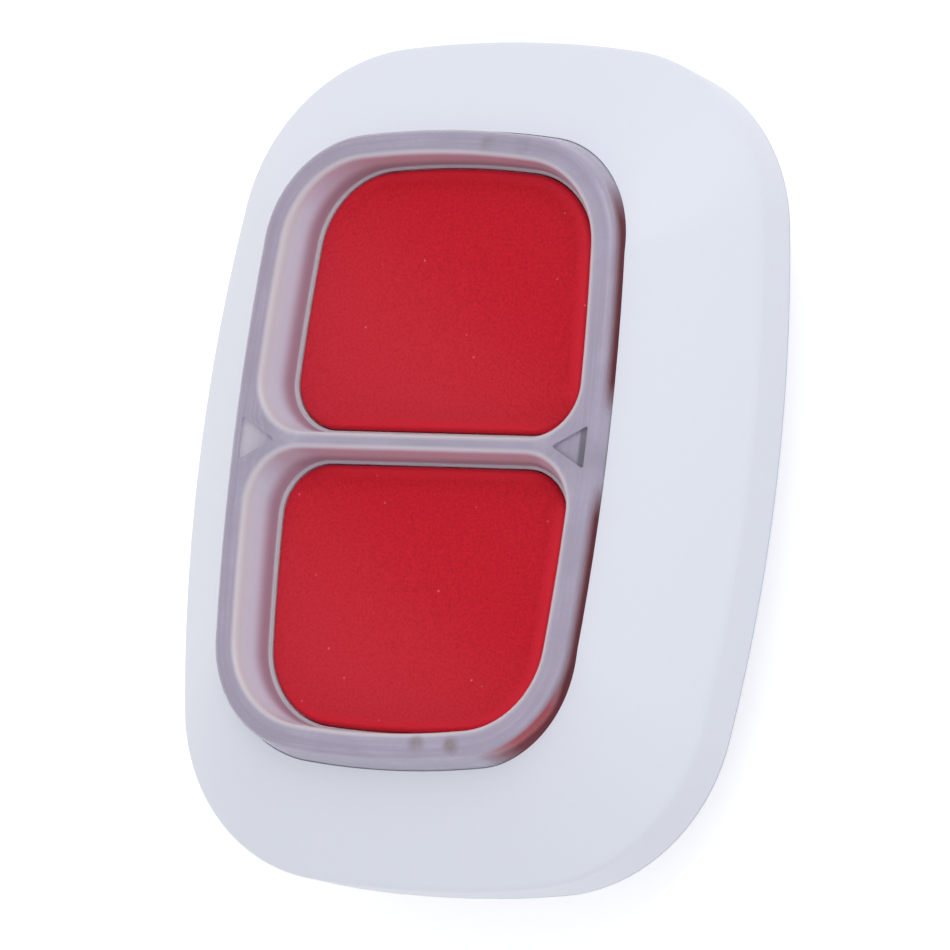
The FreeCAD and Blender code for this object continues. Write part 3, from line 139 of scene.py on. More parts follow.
# Where finishes, painted highlights and painted shade change, measured from the middle of the
# button
KEY_PITCH = 16.4 * MM
KEY_MIDDLE = 8.3 * MM
POCKET_TIP, POCKET_BASE, POCKET_SIDE = 8.6 * MM, 11.0 * MM, 1.3 * MM
CORNER_START = 12 * MM
RED_START, RED_FULL = 1.8 * MM, 3.2 * MM
LIT_EDGE_START, LIT_EDGE_FULL, LIT_EDGE_WIDTH = -8 * MM, -5.5 * MM, 0.3 * MM
SHEEN_START, SHEEN_FULL = -10.5 * MM, -1.5 * MM
SHEEN_WAY = (-0.6, -0.8, 0.0)
LAMP_X, LAMP_Y = (2.55 * MM, 4.75 * MM), 16.42 * MM
LAMP_FULL, LAMP_EDGE, LAMP_DARKNESS = 0.15 * MM, 0.7 * MM, 0.9

# Brightness of the frame's darker and lighter marks, as a share of the rim tint
CLOUD_TONE, GRAIN_TONE, STREAK_TONE, POCKET_TONE = 0.90, 1.12, 0.86, 0.42

# Lamps of the stage: name, watts, place in metres
LAMPS = (
    ("soft lamp", 2.2, (0.35, 0.45, 0.75)),
    ("fill lamp", 0.25, (-0.35, -0.55, 0.60)),
)
LAMP_WIDTH = 0.6
FLOOR_SIZE, FLOOR_DROP = 3.0, 0.02 * MM
BLACK, WHITE = (0, 0, 0), (1, 1, 1, 1)


# Settings that a user would change

def length(name, description, millimetres):
    return FloatProperty(
        name=name, description=description, default=millimetres * MM, unit="LENGTH", precision=5,
    )


def angle(name, description, degrees):
    return FloatProperty(
        name=name, description=description, default=math.radians(degrees), subtype="ANGLE",
    )


def share(name, description, default, highest=1):
    return FloatProperty(
        name=name, description=description, default=default, min=0, max=highest, subtype="FACTOR",
    )


def colour(name, description, default):
    return FloatVectorProperty(
        name=name, description=description, default=default, size=3, min=0, max=1, subtype="COLOR",
    )


class CaseSettings(bpy.types.PropertyGroup):
    half_width: length("Half width", "Middle to side at the crease", 17.5)
    half_length: length("Half length", "Middle to end at the crease", 23.5)
    corner: length("Corner", "Corner radius of the outline", 10.5)
    side_bow: length("Side bow", "Radius of the long sides", 95.0)
    end_bow: length("End bow", "Radius of the short ends", 62.0)
    crease: length("Crease height", "Back to the soft edge round the case", 9.7)
    crease_softness: length("Crease softness", "Half the width of the soft edge", 0.27)
    parting: length("Parting height", "Back to the joint between the halves", 6.4)
    band_taper: length("Band taper", "Side band leans in this far down to the joint", 0.15)
    face_top: length("Face height", "Back to the top of the sloping face", 15.0)
    face_bulge: length("Face bulge", "Crown of the sloping face", 0.2)
    wall: length("Wall", "Thickness of the side walls", 1.5)
    white: colour("White", "Colour of the moulded case", (0.745, 0.775, 0.868))
    roughness: share("Roughness", "Roughness of the moulded case", 0.42)


class FrameSettings(bpy.types.PropertyGroup):
    half_width: length("Half width", "Middle to side at the rim", 11.52)
    half_length: length("Half length", "Middle to end at the rim", 17.23)
    corner: length("Corner", "Corner radius of the rim", 6.3)
    side_bow: length("Side bow", "Radius of the long sides", 143.0)
    end_bow: length("End bow", "Radius of the short ends", 47.0)
    flare: length("Flare", "Growth from the rim to the seat", 0.8)
    rim: length("Rim", "Width of the rim", 1.35)
    outer_round: length("Outer rounding", "Rounding of the rim's outer edge", 0.55)
    inner_round: length("Inner rounding", "Rounding of the rim's inner edges", 0.32)
    bar: length("Bar", "Width of the bar between the keys", 0.9)
    bar_flare: length("Bar flare", "Radius where the bar meets the rim", 3.0)
    depth: length("Well depth", "Rim down to the foot of a well", 2.15)
    side_slope: length("Side slope", "Lean of a well's side walls over its depth", 0.96)
    end_slope: length("End slope", "Lean of a well's end wall over its depth", 0.17)
    bar_slope: length("Bar slope", "Lean of the bar's walls over the well's depth", 0.30)
    foot_corner: length("Foot corner", "Corner radius at the foot of a well", 4.75)
    foot_flare: length("Foot flare", "Corner radius at a well's foot beside the bar", 2.95)
    foot_round: length("Foot rounding", "Rounding between a wall and its ledge", 0.08)
    ledge: length("Ledge", "Width of the narrow ledge round a key", 0.16)
    lip: length("Lip", "Thickness of the lip over a key's flange", 0.8)
    rim_tint: colour("Rim tint", "Tint of the milky rim", (0.62, 0.572, 0.742))
    # Painted light on the walls round the keys and on the left pocket
    wall_tint: colour("Wall tint", "Tint of the walls round the keys", (0.94, 0.89, 1.0))
    # Painted shade and a painted reflection of the red keys on the walls across a well
    shaded_end_tint: colour("End wall tint", "Tint of the walls across a well", (0.76, 0.60, 0.72))
    # Painted reflection of the red keys, with painted shade, on the walls close to the keys
    blush: colour("Blush", "Tint of the walls close to the keys", (0.60, 0.38, 0.49))
    # Glow paints the keys' red seen through the outer walls as a dark red, with painted shade at
    # their foot
    glow: colour("Glow", "Red of the keys seen through the outer walls", (0.05, 0.001, 0.004))
    # Painted pinkish view of the red keys through the outer walls, above that red
    haze: colour("Haze", "Tint of the outer walls above that red", (0.36, 0.22, 0.28))
    # Painted highlight of brighter red in two outer corners
    corner_red_highlight: colour("Corner red", "Brighter red in two outer corners", (0.52, 0.03, 0.06))
    lamp_shadow: colour("Lamp shadow", "Tint over the lamps under the rim", (0.34, 0.28, 0.27))
    # Wall light and red light are a painted glow out of the frame
    wall_light: colour("Wall light", "Light out of the walls round the keys", (0.10, 0.42, 1.0))
    red_light: colour("Red light", "Light out of the red in the outer walls", (0.6, 0.0, 0.04))
    clearness: share("Clearness", "How much light passes instead of being scattered", 0.4)
    roughness: share("Frost", "Roughness of the frosted surface", 0.25)


class KeySettings(bpy.types.PropertyGroup):
    gap: length("Gap", "Gap round a key", 0.06)
    recess: length("Recess", "Rim down to the crown of a key", 1.85)
    crown_radius: length("Crown radius", "Radius of the domed face", 260.0)
    edge_round: length("Edge rounding", "Rounding of a key's edge", 0.28)
    red: colour("Red", "Colour of the keys", (0.535, 0.0075, 0.020))
    # Sheen and lit edge are painted highlights on the keys
    sheen: colour("Sheen", "Colour where the keys catch the light", (0.565, 0.023, 0.041))
    lit_edge: colour("Lit edge", "Colour along the edges of the keys", (0.67, 0.016, 0.034))
    roughness: share("Roughness", "Roughness of the keys", 0.55)
    grain: length("Grain", "Size of the fine moulded grain", 0.16)
    speck: colour("Speck", "Colour of the tiny specks", (0.72, 0.16, 0.19))
    speck_spacing: length("Speck spacing", "Distance between specks", 1.5)
    speck_size: share("Speck size", "Size of a speck as a share of the spacing", 0.06)


class StageSettings(bpy.types.PropertyGroup):
    yaw: angle("Yaw", "Camera to the right of the face's normal", 31.721)
    pitch: angle("Pitch", "Camera below the face's normal", 8.429)
    roll: angle("Roll", "Turn of the picture", 6.852)
    distance: length("Distance", "Camera to the middle of the crease", 700.35)
    aim_right: length("Aim right", "Sideways place of the object in the picture", -0.230)
    aim_up: length("Aim up", "Upward place of the object in the picture", 0.595)
    lens: FloatProperty(
        name="Lens", description="Focal length in millimetres", default=488.86, unit="CAMERA",
    )
    floor: colour("Floor", "Colour of the floor", (0.86, 0.86, 0.87))
    floor_glow: share("Floor glow", "Light of the floor as the camera sees it", 0.4)
    sky: share("Sky", "Strength of the even light", 0.78, highest=10)
    lamp: share("Lamp", "Strength of the soft lamps", 1.0, highest=10)


# Outlines: rings of spun vertices, bridged into shells

class Outline:
    """A rounded oblong of eight arcs: bowed sides, bowed ends and four corners, all tangent."""

    def __init__(self, half_width, half_length, corner, side_bow, end_bow):
        self.sizes = (half_width, half_length, corner, side_bow, end_bow)
        self.half_width, self.half_length, self.corner, self.side_bow, self.end_bow = self.sizes
        self.side_x = half_width - side_bow
        self.end_y = half_length - end_bow
        from_side, from_end = side_bow - corner, end_bow - corner
        across, along = -self.side_x, self.end_y
        apart = math.hypot(across, along)
        foot = (from_side ** 2 - from_end ** 2 + apart ** 2) / (2 * apart)
        aside = math.sqrt(from_side ** 2 - foot ** 2)
        self.x = self.side_x + (foot * across - aside * along) / apart
        self.y = (foot * along + aside * across) / apart
        self.low = math.atan2(self.y, self.x - self.side_x)
        self.high = math.atan2(self.y - self.end_y, self.x)

    def grown(self, distance):
        return Outline(*(value + distance for value in self.sizes))

    def toward(self, other, part, bulge):
        """A step of the way to another outline, pushed out by the bulge half way."""
        push = 4 * bulge * part * (1 - part)
        steps = [a + (b - a) * part for a, b in zip(self.sizes, other.sizes)]
        return Outline(*(value + push for value in steps[:3]), *steps[3:])

    def inset_of(self, x, y):
        """How far inside the outline a place lies."""
        x, y = abs(x), abs(y)
        if x > self.x and y > self.y and self.low < math.atan2(y - self.y, x - self.x) < self.high:
            return self.corner - math.hypot(x - self.x, y - self.y)
        from_side = self.side_bow - math.hypot(x - self.side_x, y)
        return min(from_side, self.end_bow - math.hypot(x, y - self.end_y))

    def path(self):
        """The lowest point of the right side and the arcs that lead round from it."""
        corner = self.high - self.low
        end = math.pi - 2 * self.high
        start_x = self.side_x + self.side_bow * math.cos(self.low)
        start_y = -self.side_bow * math.sin(self.low)
        runs = []
        for turn in (1, -1):
            runs += [
                (self.side_x * turn, 0, 2 * self.low, SIDE_STEPS),
                (self.x * turn, self.y * turn, corner, CORNER_STEPS),
                (0, self.end_y * turn, end, END_STEPS),
                (-self.x * turn, self.y * turn, corner, CORNER_STEPS),
            ]
        return (start_x, start_y), runs


class HalfOutline:
    """The upper half of an outline, closed by a straight line with small corners."""

    def __init__(self, whole, line, small):
        self.whole, self.line, self.small = whole, line, small

    def grown(self, distance):
        whole = self.whole.grown(distance)
        return HalfOutline(whole, self.line - distance, self.small + distance)

    def toward(self, other, part):
        line = self.line + (other.line - self.line) * part
        small = self.small + (other.small - self.small) * part
        return HalfOutline(self.whole.toward(other.whole, part, 0), line, small)

    def path(self):
        """The left end of the straight line, that line and the arcs that lead round from it."""
        whole, small = self.whole, self.small
        small_y = self.line + small
        small_x = whole.side_x + math.sqrt((whole.side_bow - small) ** 2 - small_y ** 2)
        turn = math.atan2(small_y, small_x - whole.side_x)
        bend = math.pi / 2 + turn
        side, corner = whole.low - turn, whole.high - whole.low
        return (-small_x, self.line), [
            (2 * small_x, END_STEPS),
            (small_x, small_y, bend, SMALL_STEPS),
            (whole.side_x, 0, side, SIDE_STEPS),
            (whole.x, whole.y, corner, CORNER_STEPS),
            (0, whole.end_y, math.pi - 2 * whole.high, END_STEPS),
            (-whole.x, whole.y, corner, CORNER_STEPS),
            (-whole.side_x, 0, side, SIDE_STEPS),
            (-small_x, small_y, bend, SMALL_STEPS),
        ]


def arc(start=0.0):
    """Points of a unit circle from an angle up to its top: how far out and how far up."""
    turns = [start + (math.pi / 2 - start) * step / ROUND_STEPS for step in range(ROUND_STEPS + 1)]
    return [(math.cos(turn), math.sin(turn)) for turn in turns]


def rounding(size):
    """Steps round an edge: how far past it on one side and how far short on the other."""
    parts = [step / ROUND_STEPS for step in range(ROUND_STEPS + 1)]
    return [(size * part ** 2, size * (1 - part) ** 2) for part in parts]


def verts_of(geometry):
    return [item for item in geometry if isinstance(item, bmesh.types.BMVert)]


def add_ring(bm, outline, height):
    """Spins one vertex along an outline's arcs and returns the closed ring of edges."""
    start, runs = outline.path()
    known = set(bm.edges)
    first = vert = bmesh.ops.create_vert(bm, co=(*start, height))["vert"][0]
    for run in runs:
        if len(run) == 2:
            run_length, steps = run
            for _ in range(steps):
                vert = bmesh.ops.extrude_vert_indiv(bm, verts=[vert])["verts"][0]
                bmesh.ops.translate(bm, verts=[vert], vec=(run_length / steps, 0, 0))
        else:
            x, y, sweep, steps = run
            spun = bmesh.ops.spin(
                bm, geom=[vert], cent=(x, y, height), axis=(0, 0, 1), angle=sweep, steps=steps,
            )
            vert = verts_of(spun["geom_last"])[0]
    bmesh.ops.weld_verts(bm, targetmap={vert: first})
    return [edge for edge in bm.edges if edge not in known]


def add_shell(bm, rings, open_top=False):
    """Bridges rings, each an outline and a height, upwards and closes the ends."""
    loops, level = [], -math.inf
    for outline, height in rings:
        level = max(height, level + HAIR)
        loops.append(add_ring(bm, outline, level))
    for low, high in zip(loops, loops[1:]):
        bmesh.ops.bridge_loops(bm, edges=low + high)
    for loop in loops[:1] if open_top else (loops[0], loops[-1]):
        bmesh.ops.edgeloop_fill(bm, edges=loop)
    return loops


def new_shell(*rings):
    bm = bmesh.new()
    add_shell(bm, rings)
    return bm


def add_block(bm, low, high):
    """A box between two corners."""
    low, high = Vector(low), Vector(high)
    size = Matrix.Diagonal((*(high - low), 1))
    bmesh.ops.create_cube(bm, size=1, matrix=Matrix.Translation((low + high) / 2) @ size)


def add_pillar(bm, centre, radius, low, high):
    """An upright round bar."""
    place = Matrix.Translation((*centre, (low + high) / 2))
    bmesh.ops.create_cone(
        bm, cap_ends=True, segments=PILLAR_SIDES, radius1=radius, radius2=radius,
        depth=high - low, matrix=place,
    )


def bevel(bm, geometry, width, steps, affect):
    bmesh.ops.bevel(
        bm, geom=geometry, offset=width, offset_type="OFFSET", segments=steps, profile=0.5,
        affect=affect, material=-1,
    )


def turn_round(bm, verts, turn):
    """Turns vertices round the button's upright axis."""
    bmesh.ops.rotate(bm, verts=verts, cent=(0, 0, 0), matrix=Matrix.Rotation(turn, 3, "Z"))


def repeat_turned(bm):
    """Adds a copy of everything, half a turn round the upright axis."""
    copy = bmesh.ops.duplicate(bm, geom=bm.verts[:] + bm.edges[:] + bm.faces[:])["geom"]
    turn_round(bm, verts_of(copy), math.pi)


def make_object(name, bm):
    bmesh.ops.recalc_face_normals(bm, faces=bm.faces)
    mesh = bpy.data.meshes.new(name)
    bm.to_mesh(mesh)
    bm.free()
    piece = bpy.data.objects.new(name, mesh)
    bpy.context.scene.collection.objects.link(piece)
    return piece


def combine(piece, bm, operation):
    """Cuts a tool's mesh from a piece, or joins it on, and keeps the result as plain mesh."""
    tool = make_object("tool", bm)
    modifier = piece.modifiers.new("tool", "BOOLEAN")
    modifier.object, modifier.operation, modifier.solver = tool, operation, "EXACT"
    evaluated = piece.evaluated_get(bpy.context.evaluated_depsgraph_get())
    made = bpy.data.meshes.new_from_object(evaluated)
    piece.modifiers.clear()
    old, piece.data = piece.data, made
    made.name = piece.name
    for mesh in (old, tool.data):
        bpy.data.meshes.remove(mesh)


def clean_mesh(piece):
    """Cuts a piece's faces into triangles and drops the slivers that booleans leave behind."""
    bm = bmesh.new()
    bm.from_mesh(piece.data)
    bmesh.ops.remove_doubles(bm, verts=bm.verts, dist=HAIR / 2)
    bmesh.ops.triangulate(bm, faces=bm.faces)
    bmesh.ops.dissolve_degenerate(bm, dist=HAIR / 2, edges=bm.edges)
    slivers = [
        face for face in bm.faces
        if face.calc_area() < SLIVER and any(len(edge.link_faces) != 2 for edge in face.edges)
    ]
    bmesh.ops.delete(bm, geom=slivers, context="FACES")
    bm.to_mesh(piece.data)
    bm.free()


def finish_piece(piece, material, body, slot, *replaced):
    clean_mesh(piece)
    piece.data.materials.clear()
    piece.data.materials.append(material)
    piece.data.shade_smooth()
    piece.data.set_sharp_from_angle(angle=SMOOTH_ANGLE)
    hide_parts(*replaced)
    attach(piece, body)


# Finishes

def new_group(name, inputs, outputs):
    """A node group of numbers, except that an input without a default is a place."""
    group = bpy.data.node_groups.new(name, "ShaderNodeTree")
    for socket, default in inputs.items():
        kind = "NodeSocketVector" if default is None else "NodeSocketFloat"
        made = group.interface.new_socket(socket, in_out="INPUT", socket_type=kind)
        if default is not None:
            made.default_value = default
    for socket in outputs:
        group.interface.new_socket(socket, in_out="OUTPUT", socket_type="NodeSocketFloat")
    entry, leave = group.nodes.new("NodeGroupInput"), group.nodes.new("NodeGroupOutput")
    return group, entry.outputs, leave.inputs


def add_node(tree, kind, inputs=(), **settings):
    """A shader node with its settings, whose inputs are given values or other nodes' outputs."""
    node = tree.nodes.new(kind)
    for key, value in settings.items():
        setattr(node, key, value)
    for name, value in dict(inputs).items():
        if isinstance(value, bpy.types.NodeSocket):
            tree.links.new(value, node.inputs[name])
        else:
            node.inputs[name].default_value = value
    return node


def calculate(tree, operation, *values):
    inputs = dict(enumerate(values))
    return add_node(tree, "ShaderNodeMath", inputs, operation=operation).outputs[0]


def ramp(tree, value, low=0.0, high=1.0, start=0.0, end=1.0, soft=False):
    """Maps a value's way from low to high onto the way from start to end, straight or soft."""
    inputs = {"Value": value, "From Min": low, "From Max": high, "To Min": start, "To Max": end}
    kind = "SMOOTHSTEP" if soft else "LINEAR"
    return add_node(tree, "ShaderNodeMapRange", inputs, interpolation_type=kind).outputs[0]


def blend(tree, mask, *colours):
    """Mixes two colours, each a plain one or an output, by a mask."""
    low, high = (
        colour if isinstance(colour, bpy.types.NodeSocket) else (*colour, 1) for colour in colours
    )
    mix = add_node(tree, "ShaderNodeMix", {0: mask, 6: low, 7: high}, data_type="RGBA")
    return mix.outputs[2]


def shade(colour, part):
    return [min(channel * part, 1) for channel in colour]


def object_place(tree):
    return add_node(tree, "ShaderNodeTexCoord").outputs["Object"]


def attribute(tree, name):
    return add_node(tree, "ShaderNodeAttribute", attribute_name=name).outputs["Fac"]


def moulded_grain():
    """Fine even grain of moulded plastic: a height for bumps and a tone for colour."""
    group, given, result = new_group(
        "Moulded grain", {"Place": None, "Grain size": 0.2 * MM}, ["Height", "Tone", "Cloud"],
    )
    place = given["Place"]
    scale = calculate(group, "DIVIDE", 1.0, given["Grain size"])
    fine = add_node(
        group, "ShaderNodeTexNoise",
        {"Vector": place, "Scale": scale, "Detail": 3.0, "Roughness": 0.6},
    ).outputs[0]
    cloud = add_node(group, "ShaderNodeTexNoise", {"Vector": place, "Scale": 130.0, "Detail": 2.0})
    group.links.new(fine, result["Height"])
    group.links.new(ramp(group, fine, 0.3, 0.7), result["Tone"])
    group.links.new(cloud.outputs[0], result["Cloud"])
    return group


def specks():
    """A mask of sparse tiny specks, as dust or filler shows on a matte surface."""
    group, given, result = new_group(
        "Specks", {"Place": None, "Spacing": MM, "Amount": 0.1}, ["Mask"],
    )
    scale = calculate(group, "DIVIDE", 1.0, given["Spacing"])
    cells = add_node(
        group, "ShaderNodeTexVoronoi",
        {"Vector": given["Place"], "Scale": scale, "Randomness": 1.0},
    )
    mask = ramp(group, cells.outputs["Distance"], 0.0, given["Amount"], 1.0, 0.0)
    group.links.new(mask, result["Mask"])
    return group


def flow_lines():
    """Soft streaks that follow the rim round, as in a clear moulding."""
    group, given, result = new_group("Flow lines", {"Place": None, "Across": 0.0}, ["Streaks"])
    place = add_node(group, "ShaderNodeSeparateXYZ", {0: given["Place"]}).outputs
    spread = [
        calculate(group, "MULTIPLY", source, scale)
        for source, scale in ((given["Across"], 7.0), (place["X"], 110.0), (place["Y"], 110.0))
    ]
    where = add_node(group, "ShaderNodeCombineXYZ", enumerate(spread)).outputs[0]
    noise = add_node(
        group, "ShaderNodeTexNoise",
        {"Vector": where, "Scale": 1.0, "Detail": 3.0, "Roughness": 0.65},
    )
    group.links.new(ramp(group, noise.outputs[0], 0.32, 0.68), result["Streaks"])
    return group


def effect(tree, name, maker, **inputs):
    """Places a shared effect in a material."""
    group = bpy.data.node_groups.get(name) or maker()
    named = {socket.replace("_", " "): value for socket, value in inputs.items()}
    return add_node(tree, "ShaderNodeGroup", named, node_tree=group).outputs


def grain_of(tree, place, size):
    return effect(tree, "Moulded grain", moulded_grain, Place=place, Grain_size=size)


def shader_inputs(tree, **constants):
    """Sets constants on a material's own shader and returns its inputs."""
    inputs = tree.nodes["Principled BSDF"].inputs
    for socket, value in constants.items():
        inputs[socket.replace("_", " ")].default_value = value
    return inputs


def new_material(name, base, roughness, grain_size, bump, tone=0.04, **constants):
    """A finish with moulded grain in its bumps, its colour and its roughness."""
    material = bpy.data.materials.new(name)
    material.use_nodes = True
    tree = material.node_tree
    inputs = shader_inputs(tree, **constants)
    grain = grain_of(tree, object_place(tree), grain_size)
    tinted = blend(tree, grain["Tone"], shade(base, 1 - tone), shade(base, 1 + tone))
    tree.links.new(tinted, inputs["Base Color"])
    rough = ramp(tree, grain["Cloud"], start=roughness - 0.04, end=roughness + 0.04)
    tree.links.new(rough, inputs["Roughness"])
    bumps = add_node(
        tree, "ShaderNodeBump",
        {"Strength": bump, "Distance": grain_size * 0.5, "Height": grain["Height"]},
    )
    tree.links.new(bumps.outputs[0], inputs["Normal"])
    return material


def tint_over(tree, mask, colour):
    """Lays a colour over a finish by a mask."""
    target = shader_inputs(tree)["Base Color"]
    tree.links.new(blend(tree, mask, target.links[0].from_socket, colour), target)


def catch_light(tree, key):
    """Paints highlights: lightens a finish softly toward the lower left of each key and along its
    lit edges.
    """
    whole = object_place(tree)
    place = add_node(tree, "ShaderNodeSeparateXYZ", {0: whole}).outputs
    from_bar = calculate(tree, "FLOORED_MODULO", place["Y"], KEY_PITCH)
    place = add_node(tree, "ShaderNodeCombineXYZ", {0: place["X"], 1: from_bar}).outputs[0]
    along = add_node(
        tree, "ShaderNodeVectorMath", {0: place, 1: SHEEN_WAY}, operation="DOT_PRODUCT",
    ).outputs["Value"]
    mask = ramp(tree, along, SHEEN_START, SHEEN_FULL, soft=True)
    fine = ramp(tree, grain_of(tree, whole, key.grain)["Tone"], start=0.45)
    tint_over(tree, calculate(tree, "MULTIPLY", mask, fine), key.sheen)
    tint_over(tree, attribute(tree, "lit edge"), key.lit_edge)


def add_specks(tree, key):
    """Scatters tiny specks over a finish."""
    mask = effect(
        tree, "Specks", specks, Place=object_place(tree), Spacing=key.speck_spacing,
        Amount=key.speck_size,
    )["Mask"]
    tint_over(tree, mask, key.speck)


def red_plastic(key):
    material = new_material(
        "matte red plastic", key.red, key.roughness, key.grain, bump=0.6, tone=0.18,
        Specular_IOR_Level=0.12,
    )
    catch_light(material.node_tree, key)
    add_specks(material.node_tree, key)
    return material


def paint(piece, rule):
    """Stores what a rule says of each vertex's place and normal, under the rule's name."""
    name = rule.__name__.replace("_", " ")
    values = piece.data.attributes.new(name, "FLOAT", "POINT").data
    for vert, value in zip(piece.data.vertices, values):
        value.value = rule(vert.co, vert.normal)


def rise(value, low, high):
    """How far a value is on its way from low to high, from 0 to 1."""
    return min(max((value - low) / (high - low), 0), 1)


def near_pocket(place, level):
    """Whether a place is on a light pocket at a given height."""
    beside_bar = abs(place.y) < POCKET_SIDE and POCKET_TIP < abs(place.x) < POCKET_BASE
    return beside_bar and abs(place.z - level) < 2 * HAIR


def facing_well(place, normal):
    """How squarely a surface of the frame looks at the middle of its well, pockets left out."""
    if near_pocket(place, TOP) or near_pocket(place, TOP - POCKET_DEPTH):
        return 0
    middle = Vector((0, math.copysign(KEY_MIDDLE, place.y), place.z))
    return rise(normal.dot((middle - place).normalized()), 0, 0.5)


def corner(place, normal):
    """The outer corner below the lower key on the right, and the one opposite it."""
    diagonal = 0.64 * normal.x - 0.77 * normal.y
    return rise(diagonal, 0.84, 0.94) if abs(place.y) > CORNER_START else 0


def end_wall(place, normal):
    """The walls across a well that look down the frame."""
    return rise(-normal.y, 0.375, 1.0)


def beside_keys(place, normal):
    """The outer side walls of the frame, where the red keys show through."""
    if normal.x * place.x <= 0:
        return 0
    sideways = abs(0.94 * normal.x - 0.34 * normal.y)
    return rise(sideways, 0.5, 7 / 9) * rise(abs(place.y), RED_START, RED_FULL)


def in_pocket(place, normal):
    """The three-cornered light pocket on the right, from its tip to its base."""
    inside = place.x > 0 and near_pocket(place, TOP - POCKET_DEPTH)
    return max(rise(place.x, POCKET_TIP, POCKET_BASE), 0.05) if inside else 0


def bright_pocket(place, normal):
    """The pocket on the left, which catches the light toward its base."""
    return 0.9 * in_pocket(Vector((-place.x, place.y, place.z)), normal)


def frosted_plastic(clear):
    """Frosted clear plastic: a milky rim, painted light, shade and red reflections on the well
    walls, and the red keys painted as seen through the outer walls, with painted shade.
    """
    material = new_material(
        "frosted clear plastic", clear.rim_tint, clear.roughness, grain_size=0.3 * MM, bump=0.06,
        tone=0.05, Transmission_Weight=clear.clearness, IOR=1.49, Coat_Roughness=0.12,
        Subsurface_Weight=0.5, Subsurface_Radius=(1.0, 0.8, 0.9), Subsurface_Scale=1.2 * MM,
        Specular_IOR_Level=0.2, Emission_Strength=0.09,
    )
    tree = material.node_tree
    inputs = shader_inputs(tree)
    place = object_place(tree)
    height = add_node(tree, "ShaderNodeSeparateXYZ", {0: place}).outputs["Z"]
    facing, crosswise, corners, outside = (
        attribute(tree, name) for name in ("facing well", "end wall", "corner", "beside keys")
    )

    def times(first, second):
        return calculate(tree, "MULTIPLY", first, second)

    def between(first_drop, last_drop, level=height):
        """A mask that grows softly from one depth under the rim to another."""
        return ramp(tree, level, TOP - first_drop, TOP - last_drop, soft=True)

    # The milky rim, with clouds, fine grain and streaks
    cloud = grain_of(tree, place, 2.2 * MM)["Tone"]
    fine = grain_of(tree, place, 0.18 * MM)["Tone"]
    streaks = effect(
        tree, "Flow lines", flow_lines, Place=place, Across=attribute(tree, "across rim"),
    )["Streaks"]
    plain = inputs["Base Color"].links[0].from_socket
    mottled = blend(tree, fine, plain, shade(clear.rim_tint, GRAIN_TONE))
    mottled = blend(tree, cloud, shade(clear.rim_tint, CLOUD_TONE), mottled)
    mottled = blend(tree, streaks, shade(clear.rim_tint, STREAK_TONE), mottled)

    # The walls of the wells: painted light on them, painted shade and a painted reflection of the
    # red keys on the walls across a well, the same reflection with painted shade towards the keys,
    # and a painted glow a little below the rim
    depth = between(1.0 * MM, 0.85 * clear.depth)
    above_foot = ramp(tree, depth, start=1.0, end=0.0)
    above_ledge = between(clear.depth, clear.depth - 0.16 * MM)
    wall = blend(tree, crosswise, clear.wall_tint, clear.shaded_end_tint)
    wall = blend(tree, times(depth, above_ledge), wall, clear.blush)
    result = blend(tree, facing, mottled, wall)
    shining = times(facing, times(between(0.1 * MM, 0.7 * MM), above_foot))
    shine = blend(tree, shining, BLACK, clear.wall_light)
    shine = blend(tree, crosswise, shine, BLACK)

    # The pockets: a dark bar at the base of the right one, painted light on the left one
    dark_bar = ramp(tree, attribute(tree, "in pocket"), 0.70, 0.80, soft=True)
    result = blend(tree, dark_bar, result, shade(clear.rim_tint, POCKET_TONE))
    result = blend(tree, attribute(tree, "bright pocket"), result, clear.wall_tint)

    # The outer walls, where the keys show through: a painted pinkish haze of the red seen through,
    # a painted red highlight in two corners, and below them the painted red with painted shade at
    # the foot
    haze = blend(tree, corners, clear.haze, clear.corner_red_highlight)
    result = blend(tree, times(outside, between(0.1 * MM, 0.5 * MM)), result, haze)
    raised = calculate(tree, "MULTIPLY_ADD", corners, 0.45 * MM, height)
    red = times(outside, between(0.35 * MM, 0.85 * MM, raised))
    result = blend(tree, red, result, clear.glow)
    duller = calculate(tree, "MULTIPLY_ADD", red, 0.4, inputs["Roughness"].links[0].from_socket)

    # Painted shadows of the lamps under the rim
    for x in LAMP_X:
        for y in (LAMP_Y, -LAMP_Y):
            apart = add_node(
                tree, "ShaderNodeVectorMath", {0: place, 1: (x, y, TOP)}, operation="DISTANCE",
            ).outputs["Value"]
            spot = ramp(tree, apart, LAMP_FULL, LAMP_EDGE, LAMP_DARKNESS, 0.0, soft=True)
            result = blend(tree, times(spot, cloud), result, clear.lamp_shadow)

    tree.links.new(result, inputs["Base Color"])
    tree.links.new(duller, inputs["Roughness"])
    tree.links.new(ramp(tree, red, start=0.25, end=0.0), inputs["Coat Weight"])
    # Painted glow out of the well walls and out of the red in the outer walls
    tree.links.new(blend(tree, red, shine, clear.red_light), inputs["Emission Color"])
    return material


